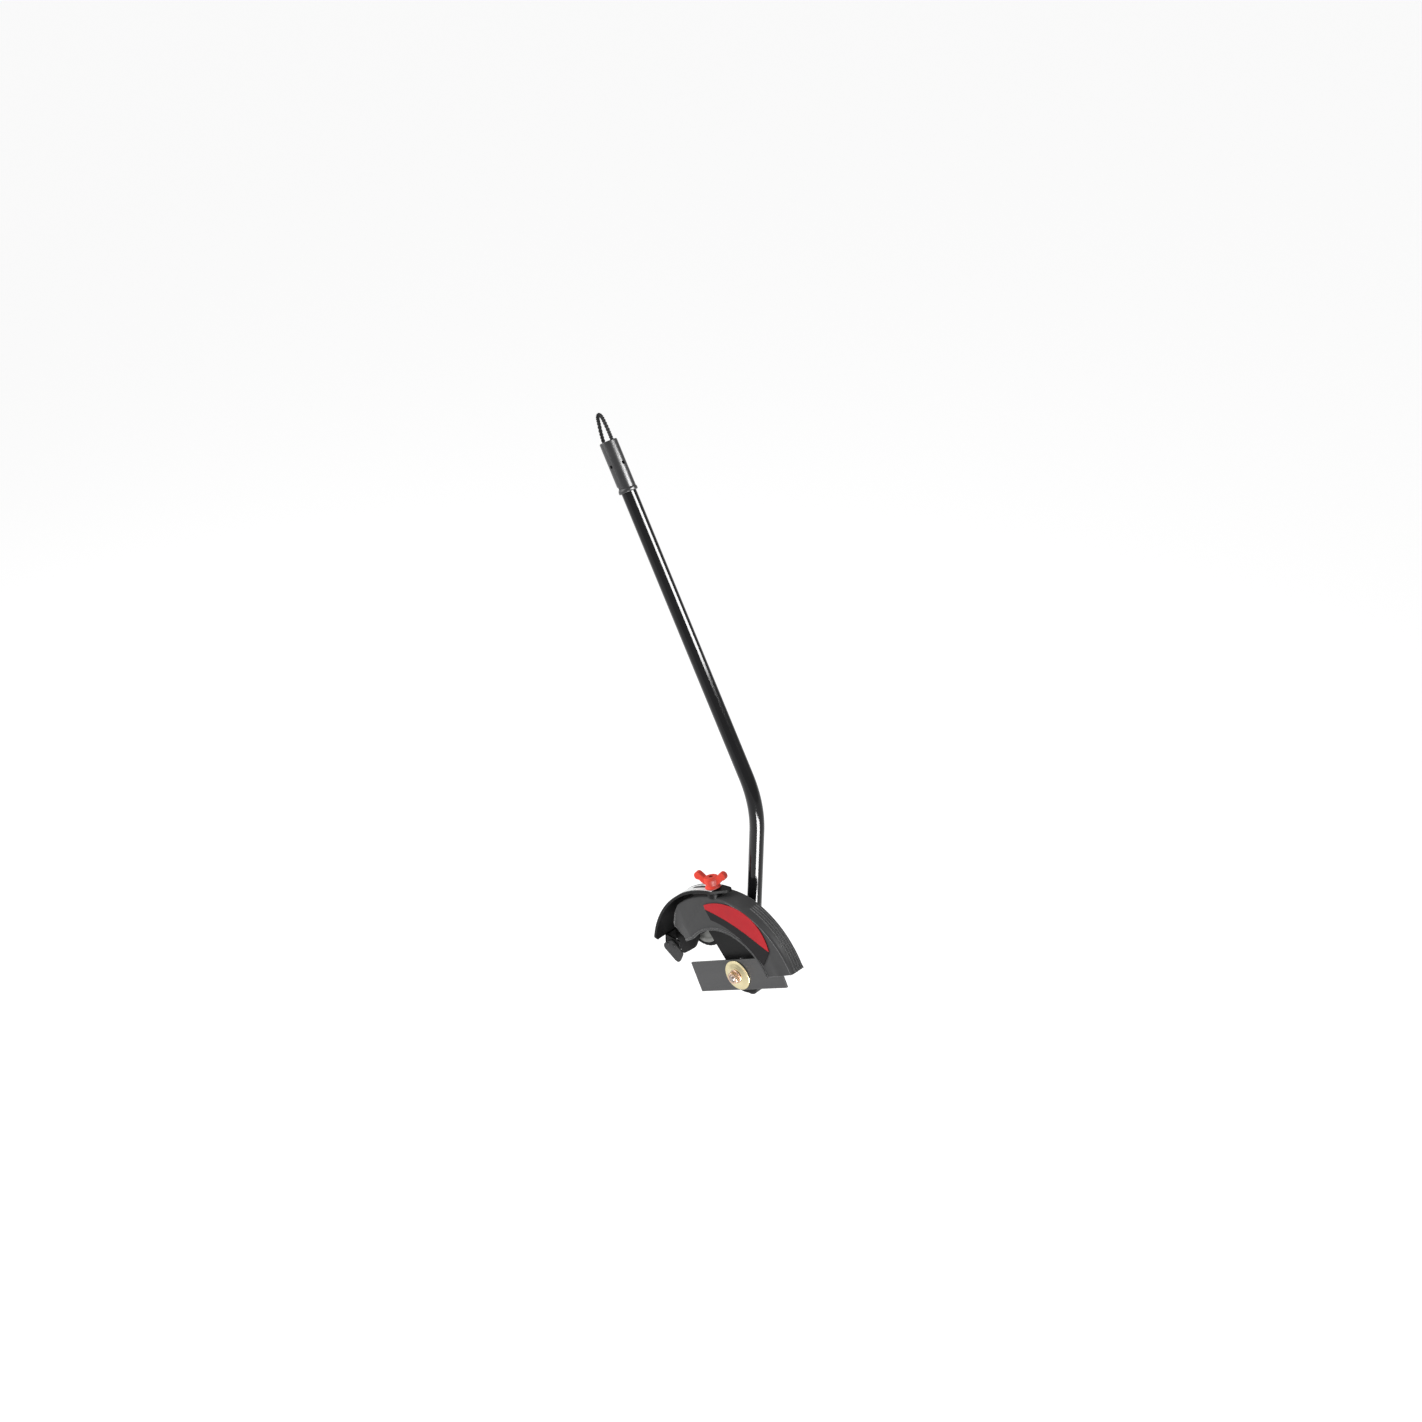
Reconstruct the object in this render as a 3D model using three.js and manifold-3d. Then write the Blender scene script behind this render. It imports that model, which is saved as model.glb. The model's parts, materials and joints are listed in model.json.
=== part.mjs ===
// Powered lawn and path edger attachment for a split-shaft trimmer: a bent drive tube with a
// flexible core, a bevel gear head, a flat edging blade under a guard, a depth bracket with a
// guide wheel and a wing knob, and a hanger cap with a loop on the tube's upper end.
//
// Units are millimetres. While the pieces are built, the origin is where the lower tube's axis
// crosses the blade's axis: +X is forward, -Y points out along the blade's spindle, and +Z runs
// up the lower tube. Angles named phi go round the blade's axis, from +X towards +Z. At the end
// the whole object moves so that its origin is the middle of the tube's upper end.

import * as THREE from 'three';
import { mergeVertices } from 'three/addons/utils/BufferGeometryUtils.js';
import Module from 'manifold-3d';

const wasm = await Module();
wasm.setup();

const GAP = 0.3;
const DEG = Math.PI / 180;

// Drive tube.
const TUBE_R = 11.1;
const TUBE_BORE_R = 9.5;
const TUBE_BOTTOM = 48;
const BEND_ANGLE = 31.8 * DEG;
const BEND_CORNER_Z = 286.3;
const BEND_R = 155;
const BEND_TANGENT = BEND_R * Math.tan(BEND_ANGLE / 2);
const TUBE_TOP = 545;
const LINER_R = 8.6;
const LINER_BORE_R = 4.2;
const LINER_BOTTOM = 68;
const LINER_TOP = 521;
const CORE_R = 3.2;
const DRIVE_TIP_HALF = 3.4;

// Hanger cap and loop.
const CAP_R = 13.2;
const CAP_BOTTOM = 486;
const CAP_TOP = 562.8;
const CAP_ROOF = 10;
const NOTCH_TURN = 65 * DEG;
const LOOP_WIRE_R = 2.4;

// Gear head.
const BARREL_R = 26;
const BARREL_FRONT = -19.5;
const BARREL_BACK = 24;
const CAVITY_R = 22.8;
const NECK_R = 18;
const NECK_TOP = 84;
const BEARING_R = 13;
const SPINDLE_R = 6;
const THREAD_R = 4.9;
const SPINDLE_FRONT = -49;
const SPINDLE_BACK = 23.4;
const INPUT_R = 5;
const LOBE_R = 15;
const LOBE_Z = -36;
const LOBE_FRONT = -4;
const LOBE_BACK = 14;
const PLUG_Y = 5;

// Bevel gears, with their common apex at the origin.
const PINION_TEETH = 14;
const GEAR_TEETH = 19;
const CONE_OUTER = 24;
const CONE_INNER = 15;
const ADDENDUM = 1.4;
const DEDENDUM = 2.0;

// Blade and what clamps it.
const BLADE_LENGTH = 190.5;
const BLADE_WIDTH = 49.5;
const BLADE_BACK = -30.4;
const BLADE_THICK = 3;
const BLADE_ANGLE = 29.2 * DEG;
const BLADE_HOLE_R = 10;
const CUP_R = 23.9;
const NUT_ACROSS_FLATS = 17;

// Guard.
const GUARD_FRONT = -54;
const GUARD_EDGE = -20.8;
const GUARD_EDGE_SLOPE = 3.8 * DEG;
const GUARD_WALL = 3;
const GUARD_R_FRONT = 138.5;
const GUARD_R_EDGE = 139.5;
const ARCH_R = 83.5;
const GUARD_RIGHT = 31 * DEG;
const GUARD_LEFT = 141 * DEG;
const GUARD_END_POINTS = [[-116.5, 68], [-121.5, 48], [-118.5, 41.5], [-91, 25.5]];
const GUARD_PLATE_BACK = -19.8;
const GUARD_PLATE_THICK = 3;
const GUARD_PLATE_R = 137;
const GUARD_PLATE_FROM = 80 * DEG;
const FLANGE_SCREW_PCR = 23;
const GUARD_STEPS = 28;
const ARCH_END = 149 * DEG;

// Depth bracket, wheel and knob.
const BAND_R = 150;
const BAND_THICK = 3;
const BAND_FRONT = -59;
const BAND_BACK = -30;
const BAND_TOP = 96.5 * DEG;
const BAND_END = 178.5 * DEG;
const BAND_WIDE_FROM = 135 * DEG;
const END_CUT_ANGLE = 41 * DEG;
const WEB_FRONT = -14;
const WEB_BACK = -11;
const BOLT_ANGLE = 106.5 * DEG;
const BOLT_Y = -45;
const BOLT_R = 3;
const SLOT_TRAVEL = 15 * DEG;
const SCALE_THICK = 0.8;
const AXLE_X = -96;
const AXLE_Z = 34;
const AXLE_R = 4;
const WHEEL_R = 38;
const RIM_R = 31.5;
const WHEEL_FRONT = -7.5;
const WHEEL_BACK = 14.5;
const KNOB_YAW = 12 * DEG;
const WASHER_R = 9;
const WASHER_THICK = 0.8;

const FINISHES = {
  black_paint: [0x151516, 0.25, 0.3],
  black_plastic: [0x1e1e1f, 0.55, 0.0],
  guard_grey: [0x3c3c3d, 0.6, 0.0],
  cast_black: [0x232324, 0.5, 0.4],
  steel: [0x8d8f91, 0.35, 1.0],
  blade_steel: [0x6a6b6c, 0.4, 0.9],
  yellow_zinc: [0xd8c88c, 0.3, 1.0],
  brass: [0xb08d4a, 0.35, 1.0],
  red_plastic: [0xe0503c, 0.45, 0.0],
  rubber: [0x17171a, 0.85, 0.0],
  white_plastic: [0xd0cfc8, 0.5, 0.0],
  badge_red: [0xd2303c, 0.4, 0.0],
  silver_label: [0xc4c6c8, 0.35, 0.6],
};

const edger = new THREE.Group();
const upperShaft = new THREE.Group();
upperShaft.position.set(0, 0, BEND_CORNER_Z);
upperShaft.rotation.y = -BEND_ANGLE;
const knobSeat = new THREE.Group();
knobSeat.position.y = BOLT_Y;
knobSeat.rotation.y = Math.PI / 2 - BOLT_ANGLE;
edger.add(upperShaft, knobSeat);

// ---------------------------------------------------------------- geometry helpers

// One closed skin with shared corners, no collapsed triangles, and its faces pointing out.
function closed(geometry) {
  const bare = geometry.clone();
  for (const name of ['normal', 'uv']) bare.deleteAttribute(name);
  const merged = mergeVertices(bare, 1e-4);
  const place = merged.attributes.position;
  const corner = (i) => new THREE.Vector3().fromBufferAttribute(place, i);
  const kept = [];
  let volume = 0;
  for (let i = 0; i < merged.index.count; i += 3) {
    const [a, b, c] = [0, 1, 2].map((k) => merged.index.getX(i + k));
    if (a === b || b === c || c === a) continue;
    kept.push([a, b, c]);
    volume += corner(a).dot(corner(b).cross(corner(c)));
  }
  merged.setIndex(kept.flatMap(([a, b, c]) => (volume < 0 ? [a, c, b] : [a, b, c])));
  return merged;
}

function toSolid(geometry) {
  const skin = closed(geometry);
  return new wasm.Manifold(new wasm.Mesh({
    numProp: 3,
    vertProperties: new Float32Array(skin.attributes.position.array),
    triVerts: new Uint32Array(skin.index.array),
  }));
}

function fromSolid(solid) {
  const mesh = solid.getMesh();
  const geometry = new THREE.BufferGeometry();
  geometry.setAttribute('position', new THREE.BufferAttribute(mesh.vertProperties, 3));
  geometry.setIndex(new THREE.BufferAttribute(mesh.triVerts, 1));
  return geometry;
}

const join = (...parts) => fromSolid(parts.map(toSolid).reduce((a, b) => a.add(b)));
const cut = (base, ...tools) => fromSolid(tools.map(toSolid).reduce((a, b) => a.subtract(b), toSolid(base)));

// A turned piece about +Z from [radius, height] pairs.
function turned(profile, sides = 24) {
  const points = profile.map(([r, h]) => new THREE.Vector2(r, h));
  return new THREE.LatheGeometry(points, sides).rotateX(Math.PI / 2);
}

// The same piece turned about the blade's axis: height h lies at y = h.
const turnedY = (profile, sides = 24) => turned(profile, sides).rotateX(-Math.PI / 2);

const ringProfile = (inner, outer, low, high) =>
  [[inner, low], [outer, low], [outer, high], [inner, high], [inner, low]];
const discProfile = (radius, low, high) => [[0, low], [radius, low], [radius, high], [0, high]];

// A plate parallel to the XZ plane from an outline drawn in X and Z, each arc in so many steps.
function plate(outline, front, back, steps = 24) {
  const settings = { depth: back - front, bevelEnabled: false, curveSegments: steps / 2 };
  return new THREE.ExtrudeGeometry(outline, settings).rotateX(Math.PI / 2).translate(0, back, 0);
}

function polygon(points) {
  return new THREE.Shape(points.map(([x, z]) => new THREE.Vector2(x, z)));
}

function sector(inner, outer, from, to) {
  const outline = new THREE.Shape();
  outline.absarc(0, 0, outer, from, to, false);
  outline.absarc(0, 0, inner, to, from, true);
  outline.closePath();
  return outline;
}

const polar = (r, phi) => [r * Math.cos(phi), r * Math.sin(phi)];

function box(sizeX, sizeY, sizeZ, x, y, z) {
  return new THREE.BoxGeometry(sizeX, sizeY, sizeZ).translate(x, y, z);
}

function add(name, geometry, finish, parent = edger) {
  const [color, roughness, metalness] = FINISHES[finish];
  const material = new THREE.MeshStandardMaterial({ color, roughness, metalness });
  const mesh = new THREE.Mesh(closed(geometry), material);
  mesh.name = name;
  parent.add(mesh);
  return mesh;
}

// ---------------------------------------------------------------- the tube and its drive core

// The tube's centre line: a straight foot, the bend in even steps, and a straight upper part.
// Its parameter counts stations, so that the straight parts need only one step each.
class ShaftLine extends THREE.Curve {
  constructor(bottom, top, bendSteps) {
    super();
    this.bottom = bottom;
    this.top = top;
    this.bendSteps = bendSteps;
  }

  getPoint(t) {
    const station = t * (this.bendSteps + 2);
    const turn = THREE.MathUtils.clamp((station - 1) / this.bendSteps, 0, 1) * BEND_ANGLE;
    const bendStart = BEND_CORNER_Z - BEND_TANGENT;
    const x = -BEND_R * (1 - Math.cos(turn));
    const z = bendStart + BEND_R * Math.sin(turn);
    if (station < 1) return new THREE.Vector3(0, 0, THREE.MathUtils.lerp(this.bottom, bendStart, station));
    const past = Math.max(0, station - 1 - this.bendSteps) * (this.top - BEND_TANGENT);
    return new THREE.Vector3(x - past * Math.sin(BEND_ANGLE), 0, z + past * Math.cos(BEND_ANGLE));
  }

  getTangent(t) {
    const station = t * (this.bendSteps + 2);
    const turn = THREE.MathUtils.clamp((station - 1) / this.bendSteps, 0, 1) * BEND_ANGLE;
    return new THREE.Vector3(-Math.sin(turn), 0, Math.cos(turn));
  }

  getPointAt(u) {
    return this.getPoint(u);
  }

  getTangentAt(u) {
    return this.getTangent(u);
  }
}

function pipe(outer, inner, bottom, top, sides) {
  const bendSteps = 6;
  const outline = new THREE.Shape();
  outline.absarc(0, 0, outer, 0, 2 * Math.PI, false);
  const hole = new THREE.Path();
  hole.absarc(0, 0, inner, 0, 2 * Math.PI, true);
  outline.holes.push(hole);
  const extrudePath = new ShaftLine(bottom, top, bendSteps);
  return new THREE.ExtrudeGeometry(outline, { steps: bendSteps + 2, curveSegments: sides / 2, extrudePath });
}

function buildShaft() {
  add('drive_tube', pipe(TUBE_R, TUBE_BORE_R, TUBE_BOTTOM, TUBE_TOP, 20), 'black_paint');
  add('core_liner', pipe(LINER_R, LINER_BORE_R, LINER_BOTTOM, LINER_TOP, 8), 'white_plastic');

  const bendStart = BEND_CORNER_Z - BEND_TANGENT;
  const socketEnd = turned(discProfile(CORE_R, 60, bendStart - GAP), 10);
  const squareEnd = box(2 * 3, 2 * 3, 14, 0, 0, 60);
  add('flex_core_lower', join(socketEnd, squareEnd), 'steel');

  // The bent middle of the core flexes as it turns; it is shown as one curved rod.
  const round = new THREE.Shape();
  round.absarc(0, 0, CORE_R, 0, 2 * Math.PI, false);
  const arc = new THREE.Curve();
  arc.getPoint = (t) => {
    const turn = t * BEND_ANGLE;
    return new THREE.Vector3(-BEND_R * (1 - Math.cos(turn)), 0, bendStart + BEND_R * Math.sin(turn));
  };
  add('flex_core_bend', new THREE.ExtrudeGeometry(round, { steps: 6, curveSegments: 4, extrudePath: arc }), 'steel');

  const coreTop = TUBE_TOP - 18;
  const upperCore = turned(discProfile(CORE_R, BEND_TANGENT + GAP, coreTop), 10);
  add('flex_core_upper', upperCore, 'steel', upperShaft);
  const tipLength = 22;
  const tipMiddle = coreTop + GAP + tipLength / 2;
  add('drive_tip', box(2 * DRIVE_TIP_HALF, 2 * DRIVE_TIP_HALF, tipLength, 0, 0, tipMiddle), 'steel', upperShaft);
  const bushing = turned(ringProfile(5.4, TUBE_BORE_R - GAP, TUBE_TOP - 22, TUBE_TOP - 2), 16);
  add('upper_bushing', bushing, 'brass', upperShaft);
}

// ---------------------------------------------------------------- hanger cap and loop

function buildHanger() {
  const roof = CAP_TOP - CAP_ROOF;
  const sleeve = turned([
    [0, roof], [TUBE_R + GAP, roof], [TUBE_R + GAP, CAP_BOTTOM], [CAP_R, CAP_BOTTOM],
    [CAP_R, CAP_TOP - 1.5], [CAP_R - 1.5, CAP_TOP], [0, CAP_TOP],
  ], 24);
  const collar = turned(ringProfile(TUBE_R + GAP, CAP_R + 1, CAP_BOTTOM, CAP_BOTTOM + 5), 24);
  const crossHole = () => turned(discProfile(2.6, -CAP_R - 2, CAP_R + 2), 12).rotateY(Math.PI / 2);
  const buttonHoles = [0, Math.PI / 2].map((turn) => crossHole().rotateZ(turn).translate(0, 0, CAP_BOTTOM + 41));
  const notch = plate(polygon([[-18, CAP_BOTTOM + 5], [-9, CAP_BOTTOM + 9], [-18, CAP_BOTTOM + 13]]), -3.5, 3.5)
    .rotateZ(NOTCH_TURN);
  const legs = [-9.3, 9.3].map((x) => turned(discProfile(LOOP_WIRE_R + GAP, CAP_TOP - 9, CAP_TOP + 5), 12)
    .translate(x, 0, 0));
  add('hanger_cap', cut(join(sleeve, collar), ...buttonHoles, notch, ...legs), 'black_plastic', upperShaft);

  // The stiff wire loop leans a little to one side, as a hook holds it.
  const route = [
    [-9.3, CAP_TOP - 8.5], [-9.3, CAP_TOP + 2], [-7.3, CAP_TOP + 14], [-3.6, CAP_TOP + 28],
    [-1.2, CAP_TOP + 36], [3.2, CAP_TOP + 39], [7.2, CAP_TOP + 35], [8.6, CAP_TOP + 25],
    [9.3, CAP_TOP + 12], [9.3, CAP_TOP + 2], [9.3, CAP_TOP - 8.5],
  ].map(([x, z]) => new THREE.Vector3(x, 0, z));
  const wire = new THREE.Shape();
  wire.absarc(0, 0, LOOP_WIRE_R, 0, 2 * Math.PI, false);
  const extrudePath = new THREE.CatmullRomCurve3(route);
  add('hanger_loop', new THREE.ExtrudeGeometry(wire, { steps: 30, curveSegments: 4, extrudePath }), 'rubber', upperShaft);
}

// ---------------------------------------------------------------- gear head

function buildHousing() {
  const barrel = turnedY([
    [0, BARREL_FRONT], [28, BARREL_FRONT], [28, BARREL_FRONT + 4], [BARREL_R, BARREL_FRONT + 6],
    [BARREL_R, BARREL_BACK], [0, BARREL_BACK],
  ], 36);
  const neck = turned([[0, 0], [NECK_R, 0], [NECK_R, 46], [15.5, 56], [15.5, NECK_TOP], [0, NECK_TOP]], 28);
  const lobe = turnedY(discProfile(LOBE_R, LOBE_FRONT, LOBE_BACK), 28).translate(0, 0, LOBE_Z);
  const ears = box(13, 12, 26, 19, 0, NECK_TOP - 15);
  const cavity = turnedY(discProfile(CAVITY_R, -5, BARREL_BACK + 1), 32);
  const frontBore = turnedY(discProfile(BEARING_R + GAP, BARREL_FRONT - 1, -11.2), 24);
  const spindlePassage = turnedY(discProfile(8, -12, 0), 16);
  const pinionPocket = turned([[0, 10.4], [10.4, 10.4], [16.4, 18], [16.4, 21.8], [0, 21.8]], 24);
  const bearingBore = turned(discProfile(BEARING_R, 20, 38.7), 24);
  const shoulderBore = turned(discProfile(8, 30, TUBE_BOTTOM), 20);
  const tubeBore = turned(discProfile(TUBE_R + GAP, TUBE_BOTTOM - GAP, NECK_TOP + 1), 28);
  const split = box(20, 2.4, 34, 20, 0, NECK_TOP - 15);
  const clampHoles = [-7, 7].map((dz) => new THREE.CylinderGeometry(2.3, 2.3, 30, 12)
    .translate(21, 0, NECK_TOP - 15 + dz));
  const flangeHoles = screwAngles().map((phi) => {
    const [x, z] = polar(FLANGE_SCREW_PCR, phi);
    return turnedY(discProfile(1.9, BARREL_FRONT - 1, BARREL_FRONT + 5.8), 8).translate(x, 0, z);
  });
  const coverHoles = coverAngles().map((phi) => {
    const [x, z] = polar(24.4, phi);
    return turnedY(discProfile(0.9, 16, BARREL_BACK + 1), 8).translate(x, 0, z);
  });
  const greaseHole = turned(discProfile(3.3, LOBE_Z - LOBE_R - 1, LOBE_Z + 6), 12).translate(0, PLUG_Y, 0);
  add('gear_housing', cut(
    join(barrel, neck, lobe, ears),
    cavity, frontBore, spindlePassage, pinionPocket, bearingBore, shoulderBore, tubeBore, split,
    ...clampHoles, ...flangeHoles, ...coverHoles, greaseHole,
  ), 'cast_black');
  add('grease_plug', turned([
    [0, LOBE_Z - LOBE_R - 3.4], [4.6, LOBE_Z - LOBE_R - 3.4], [4.6, LOBE_Z - LOBE_R - GAP],
    [3, LOBE_Z - LOBE_R - GAP], [3, LOBE_Z + 4], [0, LOBE_Z + 4],
  ], 12).translate(0, PLUG_Y, 0), 'steel');
}

const screwAngles = () => [90, 210, 330].map((degrees) => degrees * DEG);
const coverAngles = () => [30, 150, 270].map((degrees) => degrees * DEG);

function buildGearboxCover() {
  const face = BARREL_BACK + GAP;
  const shell = turnedY([
    [0, face + 5], [BARREL_R - 1.5, face + 5], [BARREL_R, face + 3.5], [BARREL_R, face],
    [17, face], [17, 17.6], [BEARING_R + GAP, 17.6], [BEARING_R + GAP, face], [0, face],
  ], 32);
  const holes = coverAngles().map((phi) => {
    const [x, z] = polar(24.4, phi);
    return turnedY(discProfile(0.9, face - 1, face + 6), 8).translate(x, 0, z);
  });
  add('gearbox_cover', cut(shell, ...holes), 'cast_black');
  coverAngles().forEach((phi, index) => {
    const [x, z] = polar(24.4, phi);
    const screw = turnedY([
      [0, 17], [0.6, 17], [0.6, face + 5 + GAP], [2.6, face + 5 + GAP], [2.6, face + 7.2], [0, face + 7.2],
    ], 10).translate(x, 0, z);
    add(`cover_screw_${index + 1}`, screw, 'steel');
  });
}

// A bevel gear about +Z with its apex at the origin: rings of tooth corners at the outer and
// inner cone distances, closed through the back, the bore and the front.
function bevelGear(teeth, coneAngle, firstTooth, boreR, backDepth) {
  const tip = coneAngle + ADDENDUM / CONE_OUTER;
  const root = coneAngle - DEDENDUM / CONE_OUTER;
  const pitch = 2 * Math.PI / teeth;
  const corners = [[-0.3, root], [-0.1, tip], [0.1, tip], [0.3, root]];
  const azimuths = [];
  for (let tooth = 0; tooth < teeth; tooth += 1) {
    for (const [share, angle] of corners) azimuths.push([firstTooth + (tooth + share) * pitch, angle]);
  }
  const toothRing = (distance) => azimuths.map(([azimuth, angle]) => new THREE.Vector3(
    distance * Math.sin(angle) * Math.cos(azimuth),
    distance * Math.sin(angle) * Math.sin(azimuth),
    distance * Math.cos(angle),
  ));
  const roundRing = (radius, height) => azimuths.map(([azimuth]) =>
    new THREE.Vector3(radius * Math.cos(azimuth), radius * Math.sin(azimuth), height));
  const back = CONE_OUTER * Math.cos(root) + backDepth;
  const front = CONE_INNER * Math.cos(root);
  const rings = [
    roundRing(boreR, back), roundRing(CONE_OUTER * Math.sin(root) - 1.5, back),
    toothRing(CONE_OUTER), toothRing(CONE_INNER), roundRing(boreR, front - 0.5),
  ];
  return ringSolid(rings);
}

// Joins rings of equal length into one closed skin that runs back from the last to the first.
function ringSolid(rings) {
  const count = rings[0].length;
  const index = [];
  rings.forEach((ring, r) => {
    const next = (r + 1) % rings.length;
    for (let i = 0; i < count; i += 1) {
      const j = (i + 1) % count;
      const [a, b] = [r * count + i, r * count + j];
      const [c, d] = [next * count + i, next * count + j];
      index.push(a, b, d, a, d, c);
    }
  });
  const geometry = new THREE.BufferGeometry().setFromPoints(rings.flat());
  geometry.setIndex(index);
  return geometry;
}

function buildGearTrain() {
  const pinionCone = Math.atan(PINION_TEETH / GEAR_TEETH);
  const gearCone = Math.PI / 2 - pinionCone;

  // The pinion's gap and the gear's tooth face each other where the pitch cones touch, between
  // +Y and +Z.
  const pinionGap = Math.PI / 2 + Math.PI / PINION_TEETH;
  const pinionTeeth = bevelGear(PINION_TEETH, pinionCone, pinionGap, 3, 0.8);
  const pinionShaft = turned([
    [0, 11], [4, 11], [INPUT_R, 12], [INPUT_R, 20], [7.5, 20.6], [7.5, 22], [INPUT_R, 22],
    [INPUT_R, 47], [6.2, 48], [6.2, 66], [0, 66],
  ], 20);
  const socket = box(2 * 3.6, 2 * 3.6, 18, 0, 0, 59);
  add('input_pinion', cut(join(pinionTeeth, pinionShaft), socket), 'steel');

  const wheelTeeth = bevelGear(GEAR_TEETH, gearCone, Math.PI / 2, SPINDLE_R + GAP, 1);
  add('bevel_gear', wheelTeeth.rotateX(-Math.PI / 2).rotateY(Math.PI), 'steel');

  const inputRing = ringProfile(INPUT_R + GAP, BEARING_R - GAP, 0, 7);
  add('input_bearing_lower', turned(inputRing, 24).translate(0, 0, 24), 'steel');
  add('input_bearing_upper', turned(inputRing, 24).translate(0, 0, 31.4), 'steel');
  add('input_retaining_ring', turned(ringProfile(9.6, BEARING_R - GAP, 22.6, 23.7), 24), 'steel');

  const spindleRing = ringProfile(SPINDLE_R + GAP, BEARING_R, 0, 5.6);
  add('spindle_bearing_front', turnedY(spindleRing, 24).translate(0, -17, 0), 'steel');
  add('spindle_bearing_rear', turnedY(spindleRing, 24).translate(0, 17.6 + GAP, 0), 'steel');
  add('spindle_seal', turnedY(ringProfile(SPINDLE_R + GAP, BEARING_R, -19.3, -17.3), 24), 'rubber');
  add('blade_spindle', turnedY([
    [0, SPINDLE_FRONT], [THREAD_R - 1, SPINDLE_FRONT], [THREAD_R, SPINDLE_FRONT + 1], [THREAD_R, -34.2],
    [SPINDLE_R, -33.4], [SPINDLE_R, SPINDLE_BACK], [0, SPINDLE_BACK],
  ], 24), 'steel');
}

// ---------------------------------------------------------------- blade stack

function buildBlade() {
  const seat = BLADE_BACK + GAP;
  const front = BLADE_BACK - BLADE_THICK;
  add('inner_flange', turnedY([
    [SPINDLE_R + GAP, -19.6], [10, -19.6], [10, seat + 4], [21, seat + 3], [21, seat],
    [BLADE_HOLE_R - GAP, seat], [BLADE_HOLE_R - GAP, front + GAP], [SPINDLE_R + GAP, front + GAP],
    [SPINDLE_R + GAP, -19.6],
  ], 28), 'steel');

  const outline = polygon([
    [-BLADE_LENGTH / 2, -BLADE_WIDTH / 2], [BLADE_LENGTH / 2, -BLADE_WIDTH / 2],
    [BLADE_LENGTH / 2, BLADE_WIDTH / 2], [-BLADE_LENGTH / 2, BLADE_WIDTH / 2],
  ]);
  const hole = new THREE.Path();
  hole.absarc(0, 0, BLADE_HOLE_R, 0, 2 * Math.PI, true);
  outline.holes.push(hole);
  add('edger_blade', plate(outline, front, BLADE_BACK, 28).rotateY(-BLADE_ANGLE), 'blade_steel');

  const cupBack = front - GAP;
  const bore = THREAD_R + GAP;
  add('cup_washer', turnedY([
    [bore, cupBack - 3], [12, cupBack - 3], [19, cupBack], [CUP_R, cupBack], [CUP_R, cupBack - 1.5],
    [19.6, cupBack - 1.5], [12.6, cupBack - 4.5], [bore, cupBack - 4.5], [bore, cupBack - 3],
  ], 36), 'yellow_zinc');

  const nutBack = cupBack - 4.5 - GAP;
  const hexR = NUT_ACROSS_FLATS / 2 / Math.cos(Math.PI / 6);
  const nutFlange = turnedY(discProfile(11, nutBack - 1.6, nutBack), 24);
  const nut = join(turnedY(discProfile(hexR, nutBack - 8.5, nutBack), 6), nutFlange);
  add('blade_nut', cut(nut, turnedY(discProfile(bore, nutBack - 10, nutBack + 1), 20)), 'brass');
}

// ---------------------------------------------------------------- guard

// The front face's outline: the outer arc, the angled left end and the arch over the spindle.
function guardOutline(outerR, innerR, endPoints, from, to) {
  const outline = new THREE.Shape();
  outline.absarc(0, 0, outerR, from, to, false);
  for (const [x, z] of endPoints) outline.lineTo(x, z);
  outline.absarc(0, 0, innerR, ARCH_END, from, true);
  outline.closePath();
  return outline;
}

// Draft on the outer wall: the radius grows from the front face to the open edge.
function draft(geometry) {
  const place = geometry.attributes.position;
  for (let i = 0; i < place.count; i += 1) {
    const [x, y, z] = [place.getX(i), place.getY(i), place.getZ(i)];
    const along = (y - GUARD_FRONT) / (GUARD_EDGE - GUARD_FRONT);
    const grow = 1 + (GUARD_R_EDGE / GUARD_R_FRONT - 1) * along;
    if (Math.hypot(x, z) > 100) place.setXYZ(i, x * grow, y, z * grow);
  }
  return geometry;
}

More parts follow.
